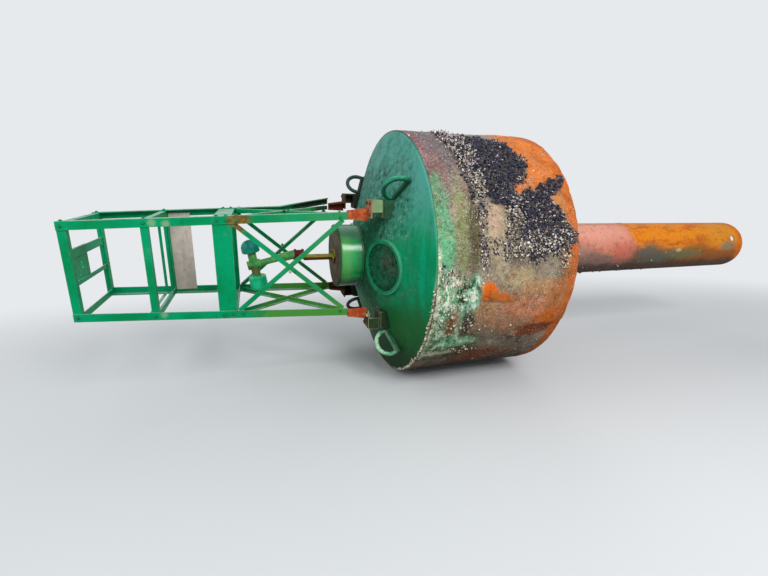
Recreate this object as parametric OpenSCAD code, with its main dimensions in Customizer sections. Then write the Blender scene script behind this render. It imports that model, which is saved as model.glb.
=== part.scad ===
// Steel navigation buoy with a sounding tube, lying on its side as it came ashore.
// Millimetres, +Z up. The axis of the buoy runs along X: the lattice tower points
// to -X and the tail tube to +X. The hull rests on the ground at Z = 0.
// Inside the modules a station s is a distance along the axis from the hull's top
// rim towards the tower top, and an angle is counted from the top towards -Y.

/* [Hull] */
// Outer diameter of the float body
hull_d = 2438; // [2000:1:3000]
// Length of the float body between its two rims
hull_len = 1338; // [900:1:2000]
// Width of the rolled skirt of each end plate
skirt_w = 45; // [35:1:80]
// Depth of the weld groove between skirt and shell
seam_depth = 6; // [2:1:10]
// Radius of the bend between end plate and skirt
knuckle_r = 40; // [20:1:50]
// Height of the conical top plate above the rim
head_rise = 325; // [150:1:420]
// Height of the dished bottom plate beyond the lower rim
dish_rise = 260; // [120:1:400]
// How far the flat landings on the end plates stand out round the tube
land_edge = 28; // [15:1:60]

/* [Sounding tube] */
// Outer diameter of the tube that runs through the hull
tube_d = 624; // [500:1:700]
// Wall of the tube
tube_wall = 14; // [8:1:30]
// Distance of the tube's open end from the hull's top rim
tail_end = 5224; // [3500:1:6500]
// Diameter of the cross hole near the open end
tail_hole_d = 80; // [30:1:140]
// Distance of the cross hole from the open end
tail_hole_inset = 201; // [120:1:400]
// Angle of the cross hole
tail_hole_angle = 65; // [0:1:180]
// Distance of the collar's cover face from the hull's top rim
collar_top = 562; // [480:1:700]
// Thickness of the cover plate
cover_t = 20; // [10:1:40]
// Height and width of the weld fillet at the foot of a tube
tube_weld = 14; // [6:1:25]

/* [Tower] */
// Distance of the tower's end from the hull's top rim
tower_h = 2690; // [2300:1:3200]
// Half width of the tower at its end
top_half = 390; // [340:1:430]
// Distance of the lower ends of the legs from the hull's top rim
leg_start = 532; // [450:1:600]
// Half width of the tower at the lower ends of the legs
base_half = 477; // [440:1:520]
// Width of each side of the angle iron legs
angle_w = 65; // [50:1:90]
// Thickness of the angle iron
angle_t = 8; // [5:1:12]
// Gap between pieces that are laid against each other
seat_gap = 0.3; // [0.1:0.1:1]
// Distance from the hull's top rim at which the far top leg is bent
bend_s = 1060; // [800:1:1300]
// Angle by which the far top leg's lower length is bent outwards
bend_angle = 7; // [0:0.5:9]

/* [Frames] */
// Width of the end frame along the tower
end_frame_w = 57; // [40:1:80]
// Distance of the middle frame from the hull's top rim
mid_frame_s = 2098; // [1950:1:2200]
// Width of the middle frame along the tower
mid_frame_w = 52; // [35:1:80]
// Distance of the wide frame from the hull's top rim
wide_frame_s = 1495; // [1380:1:1600]
// Width of the wide frame along the tower
wide_frame_w = 144; // [100:1:200]
// How deep the frames reach inwards
frame_depth = 52; // [35:1:70]
// Thickness of the frames
frame_t = 7; // [5:1:12]
// Width of the cross braces
brace_w = 40; // [30:1:60]
// Thickness of the cross braces
brace_t = 6; // [4:1:10]
// Distance from the tower's corners at which the braces end
brace_inset = 66; // [58:1:90]
// Width of the two thin stay bars beside the middle frame
stay_w = 25; // [15:1:40]

/* [Lantern seat] */
// Height of the middle of the upper crossbar above the axis
upper_bar_z = 137; // [110:1:170]
// Width of the upper crossbar
upper_bar_w = 68; // [50:1:100]
// Height of the middle of the lower crossbar above the axis
lower_bar_z = -98; // [-140:1:-70]
// Width of the lower crossbar
lower_bar_w = 34; // [25:1:70]
// Thickness of the crossbars
bar_t = 8; // [5:1:12]
// Distance of the lantern plate's middle from the axis, towards the near side
lantern_y = 158; // [0:1:190]
// Width of the lantern plate
lantern_w = 250; // [210:1:300]
// Thickness of the lantern plate
lantern_t = 10; // [6:1:16]
// Bolt circle of the lantern
lantern_pcd = 200; // [160:1:220]
// Bolt holes of the lantern
lantern_hole_d = 14; // [8:1:20]
// Length of the cable slot in the lantern plate
cable_slot_l = 72; // [40:1:100]
// Width of the cable slot
cable_slot_w = 28; // [12:1:40]

/* [Number board] */
// Width of the plain board along the tower
board_w = 186; // [120:1:300]
// Thickness of the board
board_t = 5; // [3:1:10]
// How far the board stays from the tower's corners
board_inset = 30; // [20:1:60]

/* [Feet] */
// Distance of the feet's end plates from the hull's top rim
foot_top = 357; // [330:1:400]
// Width of the square feet
foot_w = 160; // [130:1:190]
// How far the feet stand out beyond the corners of the tower
foot_out = 108; // [60:1:130]
// Thickness of the feet's plates
foot_t = 12; // [8:1:20]
// Width of the two outer sides of a foot, which is open inwards
foot_side_w = 106; // [80:1:140]
// Distance of the wedge blocks' flat tops from the hull's top rim
wedge_top = 235; // [232:1:260]
// Thickness of the packing plate between wedge and foot
packing_t = 17; // [8:1:30]
// How far the packing plate stays inside the foot's outline, less than the foot's plates
packing_inset = 6; // [2:1:7]
// Width of the stubs at the lower ends of the legs
stub_w = 74; // [65:1:90]
// Width of the stubs where they stand on the feet
stub_foot_w = 106; // [90:1:125]
// How far the stubs stand out beyond the legs
stub_out = 12; // [0:1:25]
// How far the stubs stand out beyond the tower's corners at the feet
stub_foot_out = 28; // [0:1:45]
// Thickness of the stubs
stub_t = 12; // [8:1:20]

/* [Lifting bails] */
// Thickness of the round bar
bail_bar = 41; // [25:1:60]
// Distance between the two feet of a bail, middle to middle
bail_span = 232; // [160:1:300]
// Height of a bail above the plate
bail_h = 192; // [160:1:260]
// Distance of the bails from the buoy's axis
bail_r = 936; // [860:1:980]
// Angle of the two upper bails
bail_top_angle = 43.5; // [30:0.5:60]
// Angle of the two lower bails
bail_low_angle = 141; // [125:0.5:150]

/* [Pockets] */
// Outer diameter of the pocket rings on the top plate
pocket_d = 500; // [400:1:560]
// Width of the ring
pocket_ring_w = 34; // [20:1:50]
// How far the ring stands above the plate
pocket_rise = 22; // [10:1:40]
// How far the cover inside the ring stands above the plate
pocket_cover_rise = 6; // [3:1:9]
// Distance of the pockets from the buoy's axis
pocket_r = 606; // [580:1:680]
// Angle of the pockets, and of their twins on the far side
pocket_angle = 90; // [80:1:100]

/* [Whistle] */
// Diameter of the riser pipe
riser_d = 60; // [40:1:80]
// Height of the riser above the axis
riser_z = -10; // [-30:1:20]
// Distance of the riser's upper end from the hull's top rim
riser_top = 868; // [780:1:900]
// Diameter of the riser's foot flange
riser_flange_d = 150; // [110:1:200]
// Thickness of the riser's foot flange
riser_flange_t = 18; // [10:1:30]
// Diameter of the valve body
valve_d = 104; // [80:1:130]
// Height of the valve body above the axis
valve_z = 24; // [0:1:40]
// Length of the valve body
valve_len = 92; // [60:1:120]
// Length and height of the valve's two end collars
valve_lip = 18; // [8:1:25]
// Diameter of the sleeve at the valve end of the arm
sleeve_d = 86; // [70:1:100]
// Length of the sleeve
sleeve_len = 140; // [80:1:200]
// Distance of the arm's far end from the hull's top rim
arm_top = 1338; // [1250:1:1400]
// Height of the arm's far end above the axis
arm_end_z = -64; // [-100:1:0]
// Length of the tee body on the arm's far end
tee_len = 122; // [100:1:160]
// Diameter of the cross pipe
tee_d = 78; // [60:1:84]
// Distance of the upper head from the arm
tee_up = 119; // [90:1:240]
// Distance of the lower head from the arm
tee_down = 113; // [90:1:220]
// Tilt of the cross pipe
tee_tilt = 10; // [0:1:20]
// Diameter of the two whistle heads
whistle_d = 164; // [140:1:230]
// Height of the domed upper head
upper_head_h = 121; // [100:1:180]
// Height of the upper head's straight part
upper_drum_h = 56; // [30:1:80]
// Height of the lower head
lower_head_h = 124; // [80:1:160]
// Bevel at the edges of the two heads
head_bevel = 9; // [3:1:15]

/* [Mooring] */
// Distance of the mooring lugs from the buoy's axis
lug_r = 960; // [850:1:1000]
// Diameter of the eye in each lug
lug_hole_d = 76; // [50:1:90]
// Outer radius of the lug round its eye
lug_round_r = 95; // [80:1:120]
// Thickness of the lugs
lug_t = 50; // [30:1:70]
// Distance of the eye from the lower rim along the axis
lug_stand = 230; // [200:1:280]

/* [Growth] */
// Thickness of the mussel beds on the hull's side
bed_t = 36; // [10:1:50]
// Thickness of the band of barnacles above them
shell_t = 16; // [5:1:30]
// Width of the slope at the edges of the growth
growth_slope = 30; // [10:1:50]

/* [Ground] */
// How far the buoy has rolled towards -Y about its axis
roll = 5.3; // [0:0.1:12]

/* [Hidden] */
$fn = 96;

// Signs of the four corners: near is -Y, far is +Y, top is +Z, bottom is -Z
NEAR = -1;
FAR = 1;
TOP = 1;
BOTTOM = -1;
// How far a cutting solid runs past the face that it cuts
cut = 1;
// Size of a cutting solid that takes away everything on one side
big = 400;
// Number of straight steps in a small bend and in a long curve
bend_steps = 6;
curve_steps = 10;

hull_r = hull_d / 2;
tube_r = tube_d / 2;
land_r = tube_r + land_edge;
// Slope of the conical top plate
cone_angle = atan(head_rise / (hull_r - land_r));
// Radius of the sphere that the bottom plate is part of
dish_r = (hull_r * hull_r + dish_rise * dish_rise) / (2 * dish_rise);
// Widening of the tower for each millimetre towards the hull
taper = (base_half - top_half) / (tower_h - leg_start);
taper_angle = atan(taper);
// The tower's end and the tail's end are equally far from the origin
centre_x = (tower_h - tail_end) / 2;

// Patches of growth, each with its twin on the far side. Columns: start and end as shares of
// the hull's length, first and last angle from the top, thickness
GROWTH = [
    [0.25, 0.35, 8, 70, shell_t],
    [0.34, 0.70, 24, 43, bed_t],
    [0.38, 0.64, 18, 49, bed_t * 1.15],
    [0.35, 0.56, 40, 59, bed_t * 0.9],
    [0.60, 0.94, 62, 70, bed_t],
    [0.64, 0.84, 56, 71.5, bed_t * 0.85],
    [0.78, 0.92, 50, 58, bed_t * 0.7]
];
// How deep the growth's solids reach into the shell
growth_root = 20;

// Height of the conical plate above the rim at a radius
function cone_h(r) = head_rise * (hull_r - r) / (hull_r - land_r);
// Height of the dished plate beyond the lower rim at a radius
function dish_h(r) = sqrt(dish_r * dish_r - r * r) - dish_r + dish_rise;
// Half width of the tower at a station
function tower_half(s) = top_half + taper * (tower_h - s);
// Place of a station along the sloping face of the tower
function face_x(s) = -s / cos(taper_angle);
// Points of an arc from one angle to another
function arc_points(centre, r, from, to, n) =
    [for (i = [0:n]) centre + r * [cos(from + (to - from) * i / n), sin(from + (to - from) * i / n)]];

tail_land = dish_h(land_r);
end_frame_s = tower_h - end_frame_w;
// Whistle arm: its start at the valve, its run and its slope
arm_start = riser_top + valve_len + seat_gap;
arm_run = [arm_top - arm_start, arm_end_z - valve_z];
arm_angle = atan2(arm_run[1], arm_run[0]);

// Lays the buoy on the ground, rolled about its axis
module laid() translate([centre_x, 0, hull_r]) rotate([roll, 0, 0]) children();

// Turns a profile of radius and distance along the axis into a solid about X.
// The profile's second coordinate runs towards +X.
module about_axis() rotate([0, 90, 0]) rotate_extrude() children();

// Puts children on the conical plate: X down the slope, Y round the axis, Z off the plate
module on_cone(angle, r) rotate([angle, 0, 0]) translate([-cone_h(r), 0, r])
    rotate([0, cone_angle - 90, 0]) children();

// Puts children on a face of the tower: X along it towards the tail, Y inwards, Z across.
// Turn 0 is the near face, 90 the bottom, 180 the far face and 270 the top.
module on_face(turn) rotate([turn, 0, 0]) translate([0, -tower_half(0), 0])
    rotate([0, 0, -taper_angle]) children();

// Moves the far top corner of the tower to one of the four corners
module corner(side, level) mirror([0, side < 0 ? 1 : 0, 0]) mirror([0, 0, level < 0 ? 1 : 0]) children();

// Profile of the top plate, raised off itself by lift
module cone_profile(lift) {
    bend = 90 - cone_angle;
    run = knuckle_r * tan(bend / 2);
    shift = lift / cos(cone_angle);
    polygon(concat(
        [[0, skirt_w], [0, -head_rise - lift], [land_r, -head_rise - lift]],
        lift > 0 ? [[land_r, -head_rise - shift]] : [],
        lift > 0 ? [[hull_r, -shift], [hull_r, skirt_w]] : concat(
            arc_points([hull_r - knuckle_r, run], knuckle_r, -bend, 0, bend_steps),
            [[hull_r, skirt_w - seam_depth], [hull_r - seam_depth, skirt_w]])
    ));
}

// Space taken by the top plate, with the seat gap on top of it
module cone_space(lift) about_axis() cone_profile(lift);

// Space inside the shell, between the skirts of the end plates
module hull_space() about_axis() polygon([
    [0, skirt_w], [hull_r - seam_depth, skirt_w], [hull_r, skirt_w + seam_depth],
    [hull_r, hull_len - skirt_w - seam_depth], [hull_r - seam_depth, hull_len - skirt_w],
    [0, hull_len - skirt_w]
]);

// Ring sector with sloping edges on the hull's side, between two shares of its length and two
// angles from the top towards the near side
module growth_patch(start, end, first, last, thick) rotate([0, 90, 0]) rotate([0, 0, 180 + first])
    rotate_extrude(angle = last - first) polygon([
        [hull_r - growth_root, start * hull_len],
        [hull_r + thick, start * hull_len + growth_slope],
        [hull_r + thick, end * hull_len - growth_slope],
        [hull_r - growth_root, end * hull_len]
    ]);

// Shell of the hull with the mussel beds and the band of barnacles that stand out of it
module hull() laid() color([0.42, 0.36, 0.30]) {
    hull_space();
    for (side = [0, 1], patch = GROWTH) mirror([0, side, 0])
        growth_patch(patch[0], patch[1], patch[2], patch[3], patch[4]);
}

module top_head() laid() color([0.05, 0.50, 0.35]) cone_space(0);

// Profile of the dished plate, part of a sphere rolled over into its skirt, raised by lift
module dish_profile(lift) {
    rim_angle = acos((hull_r - knuckle_r) / dish_r);
    land_angle = acos(land_r / dish_r);
    polygon(concat(
        [[0, -skirt_w], [hull_r - seam_depth, -skirt_w]],
        [[hull_r, seam_depth - skirt_w], [hull_r, -knuckle_r / 2]],
        arc_points([0, dish_rise - dish_r], dish_r + lift, rim_angle, land_angle, curve_steps),
        [[0, tail_land + lift]]
    ));
}

// Space taken by the dished plate, raised by lift
module dish_space(lift) translate([hull_len, 0, 0]) about_axis() dish_profile(lift);

module bottom_head() laid() color([0.75, 0.35, 0.10]) dish_space(0);

// The sounding tube's upper end stands out of the top plate with a fillet at its foot
module collar() laid() color([0.10, 0.62, 0.25]) about_axis() polygon([
    [tube_r - tube_wall, -head_rise], [tube_r + tube_weld, -head_rise],
    [tube_r, -head_rise - tube_weld], [tube_r, cover_t - collar_top],
    [tube_r - tube_wall, cover_t - collar_top]
]);

module collar_cover() laid() color([0.45, 0.42, 0.38]) translate([-collar_top, 0, 0]) rotate([0, 90, 0])
    cylinder(h = cover_t, r = tube_r);

// Open tube with a weld fillet at the hull and a cross hole near its end
module tail_tube() laid() color([0.92, 0.50, 0.12]) difference() {
    about_axis() polygon([
        [tube_r - tube_wall, hull_len + tail_land], [tube_r + tube_weld, hull_len + tail_land],
        [tube_r, hull_len + tail_land + tube_weld], [tube_r, tail_end], [tube_r - tube_wall, tail_end]
    ]);
    translate([tail_end - tail_hole_inset, 0, 0]) rotate([tail_hole_angle, 0, 0])
        cylinder(h = tube_d + 2 * cut, d = tail_hole_d, center = true);
}

// Section of an angle iron with its heel at the origin
module angle_section(w, t) polygon([[0, 0], [-w, 0], [-w, -t], [-t, -t], [-t, -w], [0, -w]]);

// Runs a section along a line that leaves the axis towards the far top corner, between two
// stations with a given half width at each, and cuts it square at both
module along_line(low, high, low_half, high_half) intersection() {
    slope = (low_half - high_half) / (high - low);
    start = [-high - big, high_half - big * slope, high_half - big * slope];
    run = (high - low + 2 * big) * [1, slope, slope];
    translate(start) rotate([0, -asin(run[2] / norm(run)), atan2(run[1], run[0])])
        rotate([90, 0, 90]) linear_extrude(norm(run)) children();
    translate([-high, 0, 0]) cube([high - low, hull_r, hull_r]);
}

// Runs a section along the far top corner of the tower
module along_corner(low, high) along_line(low, high, tower_half(low), tower_half(high)) children();

module leg(side, level) laid() color([0.0, 0.55, 0.33]) corner(side, level)
    along_corner(leg_start + seat_gap, tower_h) angle_section(angle_w, angle_t);

// The leg whose lower length is bent outwards, off its stub
module bent_leg() laid() color([0.0, 0.55, 0.33]) {
    low = leg_start + seat_gap;
    bent_half = tower_half(bend_s) + (bend_s - low) * tan(taper_angle + bend_angle);
    along_corner(bend_s - cut, tower_h) angle_section(angle_w, angle_t);
    along_line(low, bend_s, bent_half, tower_half(bend_s)) angle_section(angle_w, angle_t);
}

// Stub angle between leg and foot, wider at the foot
module stub(side, level) laid() color([0.72, 0.30, 0.12]) corner(side, level) {
    leg_half = tower_half(leg_start) + stub_out;
    foot_half = tower_half(foot_top) + stub_foot_out;
    narrowing = foot_half - stub_foot_w - leg_half + stub_w;
    trim_angle = atan2(narrowing, leg_start - foot_top);
    difference() {
        along_line(foot_top + seat_gap, leg_start, foot_half, leg_half)
            angle_section(stub_foot_w, stub_t);
        for (turn = [0, 1]) mirror([0, turn, -turn])
            translate([-leg_start, leg_half - stub_w, 0]) rotate([0, 0, trim_angle])
                translate([-big, -big, 0]) cube([2 * big, big, hull_r]);
    }
}

// Foot made of an end plate and two outer side plates, open inwards, on a packing plate
// and a wedge block that is cut to the slope of the top plate
module foot(side, level) laid() color([0.55, 0.68, 0.45]) corner(side, level) {
    edge = tower_half(foot_top) + foot_out;
    translate([-foot_top, edge - foot_w, edge - foot_w]) cube([foot_t, foot_w, foot_w]);
    translate([-foot_top, edge, edge]) rotate([90, 0, 90])
        linear_extrude(foot_top - wedge_top - packing_t) angle_section(foot_side_w, foot_t);
    translate([-wedge_top - packing_t, edge - foot_w + packing_inset, edge - foot_w + packing_inset])
        cube([packing_t, foot_w - 2 * packing_inset, foot_w - 2 * packing_inset]);
    difference() {
        translate([-wedge_top, edge - foot_w, edge - foot_w]) cube([wedge_top, foot_w, foot_w]);
        cone_space(seat_gap);
    }
}

// Square frustum that follows the tower's taper between two stations
module tower_core(low, high, inset) translate([-high, 0, 0]) rotate([0, 90, 0])
    linear_extrude(high - low, scale = (tower_half(low) - inset) / (tower_half(high) - inset))
        square(2 * (tower_half(high) - inset), center = true);

// Frame of four angle irons laid inside the legs, its inner sides at the lower station
module angle_frame(low, w) {
    inset = angle_t + seat_gap;
    clear = 2 * (tower_half(low + w) - inset - frame_depth);
    difference() {
        tower_core(low, low + w, inset);
        tower_core(low + frame_t, low + w + cut, inset + frame_t);
        translate([-low - w / 2, 0, 0]) cube([2 * w, clear, clear], center = true);
    }
}

module end_frame() laid() color([0.0, 0.55, 0.36]) angle_frame(end_frame_s, end_frame_w);

module middle_frame() laid() color([0.0, 0.55, 0.36]) angle_frame(mid_frame_s, mid_frame_w);

// Frame of four channels: a broad outer side with an inner side at both edges
module wide_frame() laid() color([0.0, 0.55, 0.36]) {
    inset = angle_t + seat_gap;
    high = wide_frame_s + wide_frame_w;
    clear = 2 * (tower_half(high) - inset - frame_depth);
    difference() {
        tower_core(wide_frame_s, high, inset);
        tower_core(wide_frame_s + frame_t, high - frame_t, inset + frame_t);
        translate([-wide_frame_s - wide_frame_w / 2, 0, 0])
            cube([2 * wide_frame_w, clear, clear], center = true);
    }
}

// Crossbar of the lantern seat, laid on the end frame's inner sides
module crossbar(z, w) {
    half = tower_half(tower_h) - angle_t - frame_t - 3 * seat_gap;
    translate([-end_frame_s - frame_t - seat_gap - bar_t, -half, z - w / 2]) cube([bar_t, 2 * half, w]);
}

module upper_crossbar() laid() color([0.0, 0.50, 0.36]) crossbar(upper_bar_z, upper_bar_w);

module lower_crossbar() laid() color([0.0, 0.50, 0.36]) crossbar(lower_bar_z, lower_bar_w);

// Plate between the crossbars with the lantern's bolt circle and a cable slot
module lantern_plate() laid() color([0.0, 0.45, 0.33]) {
    low = lower_bar_z - lower_bar_w / 2;
    high = upper_bar_z + upper_bar_w / 2;
    face = end_frame_s + frame_t + bar_t + 2 * seat_gap;
    translate([-face, -lantern_y, 0]) rotate([0, -90, 0]) difference() {
        translate([low, -lantern_w / 2, 0]) cube([high - low, lantern_w, lantern_t]);
        translate([(low + high) / 2, 0, -cut]) {
            for (i = [0:3]) rotate([0, 0, 45 + 90 * i]) translate([lantern_pcd / 2, 0, 0])
                cylinder(h = lantern_t + 2 * cut, d = lantern_hole_d);
            for (end = [-1, 1]) translate([end * (cable_slot_l - cable_slot_w) / 2, 0, 0])
                cylinder(h = lantern_t + 2 * cut, d = cable_slot_w);
            translate([-(cable_slot_l - cable_slot_w) / 2, -cable_slot_w / 2, 0])
                cube([cable_slot_l - cable_slot_w, cable_slot_w, lantern_t + 2 * cut]);
        }
    }
}

// Blank board on the inside of the far legs, below the middle frame
module number_board() laid() color([0.66, 0.62, 0.60]) {
    half = tower_half(mid_frame_s) - board_inset;
    on_face(180) translate([face_x(mid_frame_s - seat_gap), angle_t + seat_gap, -half])
        cube([board_w, board_t, 2 * half]);
}

// Thin flat bars beside the middle frame, one up the far face and one across the bottom
module stay_bars() laid() color([0.0, 0.45, 0.33]) {
    s = mid_frame_s + mid_frame_w + stay_w;
    half = tower_half(s) - board_inset;
    for (turn = [90, 180]) on_face(turn)
        translate([face_x(s + stay_w), angle_t + seat_gap, -half]) cube([stay_w, brace_t, 2 * half]);
}

// Angle iron laid on a face of the tower from one point to another, both [station, across]
module face_angle(from, to) {
    start = [face_x(from[0]), from[1]];
    run = [face_x(to[0]), to[1]] - start;
    translate([start[0], angle_t + seat_gap, start[1]]) rotate([0, -atan2(run[1], run[0]), 0])
        translate([0, 0, -brace_w / 2]) {
            cube([norm(run), brace_t, brace_w]);
            cube([norm(run), brace_w, brace_t]);
        }
}

// Two crossing angle irons, the second cut and butted against the first
module cross_brace() {
    low = leg_start + brace_w;
    high = wide_frame_s - brace_w / 2;
    near_end = tower_half(low) - brace_inset;
    far_end = tower_half(high) - brace_inset;
    face_angle([high, far_end], [low, -near_end]);
    difference() {
        face_angle([high, -far_end], [low, near_end]);
        start = [face_x(high), far_end];
        run = [face_x(low), -near_end] - start;
        translate([start[0], 0, start[1]]) rotate([0, -atan2(run[1], run[0]), 0])
            translate([0, 0, -brace_w / 2 - seat_gap])
                cube([norm(run), 2 * brace_w, brace_w + 2 * seat_gap]);
    }
}

module brace(turn) laid() color([0.05, 0.60, 0.35]) on_face(turn) cross_brace();

// Closed lifting bail of round bar standing on the plate in line with the slope
module bail(side, angle) laid() color([0.15, 0.65, 0.45]) mirror([0, side > 0 ? 1 : 0, 0])
    on_cone(angle, bail_r) {
        bend_r = bail_span / 2;
        base = bail_bar / 2 + seat_gap;
        crown = bail_h - bail_bar / 2 - bend_r;
        translate([0, 0, crown]) rotate([90, 0, 0]) rotate_extrude(angle = 180)
            translate([bend_r, 0]) circle(d = bail_bar);
        for (end = [-1, 1]) {
            translate([end * bend_r, 0, base]) cylinder(h = crown - base, d = bail_bar);
            translate([end * bend_r, 0, base]) sphere(d = bail_bar);
        }
        translate([-bend_r, 0, base]) rotate([0, 90, 0]) cylinder(h = bail_span, d = bail_bar);
    }

// Raised ring on the top plate, its foot cut to the cone
module pocket(side) laid() color([0.05, 0.50, 0.35]) mirror([0, side > 0 ? 1 : 0, 0]) difference() {
    on_cone(pocket_angle, pocket_r) difference() {
        translate([0, 0, -big / 2]) cylinder(h = big / 2 + pocket_rise, d = pocket_d);
        translate([0, 0, -big]) cylinder(h = 2 * big, d = pocket_d - 2 * pocket_ring_w);
    }
    cone_space(seat_gap);
    hull_space();
}

// Cover inside the ring, a little below its edge
module pocket_cover(side) laid() color([0.12, 0.30, 0.22]) mirror([0, side > 0 ? 1 : 0, 0]) difference() {
    on_cone(pocket_angle, pocket_r) translate([0, 0, -big / 2])
        cylinder(h = big / 2 + pocket_cover_rise, d = pocket_d - 2 * pocket_ring_w - 2 * seat_gap);
    cone_space(seat_gap);
    hull_space();
}

// Pipe from the cover to the valve, with a foot flange
module riser() laid() color([0.55, 0.45, 0.10])
    translate([-collar_top - seat_gap, 0, riser_z]) rotate([0, -90, 0]) {
        cylinder(h = riser_top - collar_top - 2 * seat_gap, d = riser_d);
        cylinder(h = riser_flange_t, d = riser_flange_d);
    }

module valve() laid() color([0.45, 0.10, 0.12]) translate([-riser_top, 0, valve_z]) rotate([0, -90, 0]) {
    cylinder(h = valve_lip, d = valve_d);
    cylinder(h = valve_len, d = valve_d - valve_lip);
    translate([0, 0, valve_len - valve_lip]) cylinder(h = valve_lip, d = valve_d);
}

// Puts children on the whistle arm's axis, with Z along it from the valve
module arm_axis() translate([-arm_start, 0, valve_z]) rotate([0, arm_angle - 90, 0]) children();

// Puts children on the cross pipe's axis, with Z up it and the origin at the arm
module cross_axis() translate([-arm_top, 0, arm_end_z]) rotate([0, -tee_tilt, 0]) children();

// Slanting pipe with a thick sleeve at the valve and a tee body at its far end
module whistle_arm() laid() color([0.20, 0.65, 0.35]) difference() {
    arm_axis() {
        cylinder(h = norm(arm_run), d = riser_d);
        translate([0, 0, -sleeve_d]) cylinder(h = sleeve_d + sleeve_len, d = sleeve_d);
        translate([0, 0, norm(arm_run) - tee_len / 2]) cylinder(h = tee_len, d = sleeve_d);
    }
    translate([-arm_start, -sleeve_d, valve_z - sleeve_d]) cube(2 * sleeve_d);
}

// Two lengths of pipe, cut to the tee body from above and from below
module cross_pipe() laid() color([0.10, 0.55, 0.33]) difference() {
    cross_axis() translate([0, 0, -tee_down]) cylinder(h = tee_down + tee_up, d = tee_d);
    arm_axis() cylinder(h = 2 * norm(arm_run), d = sleeve_d + 2 * seat_gap);
}

// Domed head: a short bevelled drum under a flattened cap
module upper_whistle() laid() color([0.0, 0.60, 0.45]) cross_axis() translate([0, 0, tee_up + seat_gap]) {
    cap = upper_head_h - upper_drum_h;
    cap_r = (whistle_d * whistle_d / 4 + cap * cap) / (2 * cap);
    rotate_extrude() polygon(concat(
        [[0, 0], [whistle_d / 2 - head_bevel, 0], [whistle_d / 2, head_bevel]],
        arc_points([0, upper_head_h - cap_r], cap_r, acos(whistle_d / 2 / cap_r), 90, curve_steps)
    ));
}

module lower_whistle() laid() color([0.05, 0.75, 0.50]) cross_axis()
    translate([0, 0, -tee_down - seat_gap - lower_head_h]) rotate_extrude() polygon([
        [0, 0], [whistle_d / 2 - head_bevel, 0], [whistle_d / 2, head_bevel],
        [whistle_d / 2, lower_head_h - head_bevel], [whistle_d / 2 - head_bevel, lower_head_h],
        [0, lower_head_h]
    ]);

// Two lugs on the bottom plate for the mooring chain, one above and one below the tube
module mooring_lugs() laid() color([0.55, 0.30, 0.15]) for (angle = [0, 180]) rotate([angle, 0, 0])
    difference() {
        translate([hull_len + lug_stand, 0, lug_r]) rotate([90, 0, 0]) union() {
            cylinder(h = lug_t, r = lug_round_r, center = true);
            translate([-lug_stand, -lug_round_r, -lug_t / 2]) cube([lug_stand, 2 * lug_round_r, lug_t]);
        }
        translate([hull_len + lug_stand, 0, lug_r]) rotate([90, 0, 0])
            cylinder(h = 2 * lug_t, d = lug_hole_d, center = true);
        dish_space(seat_gap);
    }

hull();
top_head();
bottom_head();
collar();
collar_cover();
tail_tube();
leg(NEAR, TOP);  // leg_near_top
leg(NEAR, BOTTOM);  // leg_near_bottom
bent_leg();  // leg_far_top
leg(FAR, BOTTOM);  // leg_far_bottom
stub(NEAR, TOP);  // stub_near_top
stub(NEAR, BOTTOM);  // stub_near_bottom
stub(FAR, TOP);  // stub_far_top
stub(FAR, BOTTOM);  // stub_far_bottom
foot(NEAR, TOP);  // foot_near_top
foot(NEAR, BOTTOM);  // foot_near_bottom
foot(FAR, TOP);  // foot_far_top
foot(FAR, BOTTOM);  // foot_far_bottom
end_frame();
upper_crossbar();
lower_crossbar();
lantern_plate();
middle_frame();
wide_frame();
number_board();
stay_bars();
brace(0);  // brace_near
brace(90);  // brace_bottom
brace(180);  // brace_far
brace(270);  // brace_top
bail(NEAR, bail_top_angle);  // bail_near_top
bail(NEAR, bail_low_angle);  // bail_near_bottom
bail(FAR, bail_top_angle);  // bail_far_top
bail(FAR, bail_low_angle);  // bail_far_bottom
pocket(NEAR);  // pocket_near
pocket(FAR);  // pocket_far
pocket_cover(NEAR);  // pocket_cover_near
pocket_cover(FAR);  // pocket_cover_far
riser();
valve();
whistle_arm();
cross_pipe();
upper_whistle();
lower_whistle();
mooring_lugs();
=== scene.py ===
# %% [markdown]
# # A stranded whistle buoy
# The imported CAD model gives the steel: hull, cone, lattice tower, whistle, bails and tail
# tube. This lesson dresses it. First come the camera, the floor and the light, then the
# hull's crust with the mussels and barnacles that grow on it, then one finish after
# another, and last the weld beads and bolts that hold the steel together.

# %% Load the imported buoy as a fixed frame
import math
import bpy
import numpy as np
from mathutils import Matrix, Vector


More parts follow.
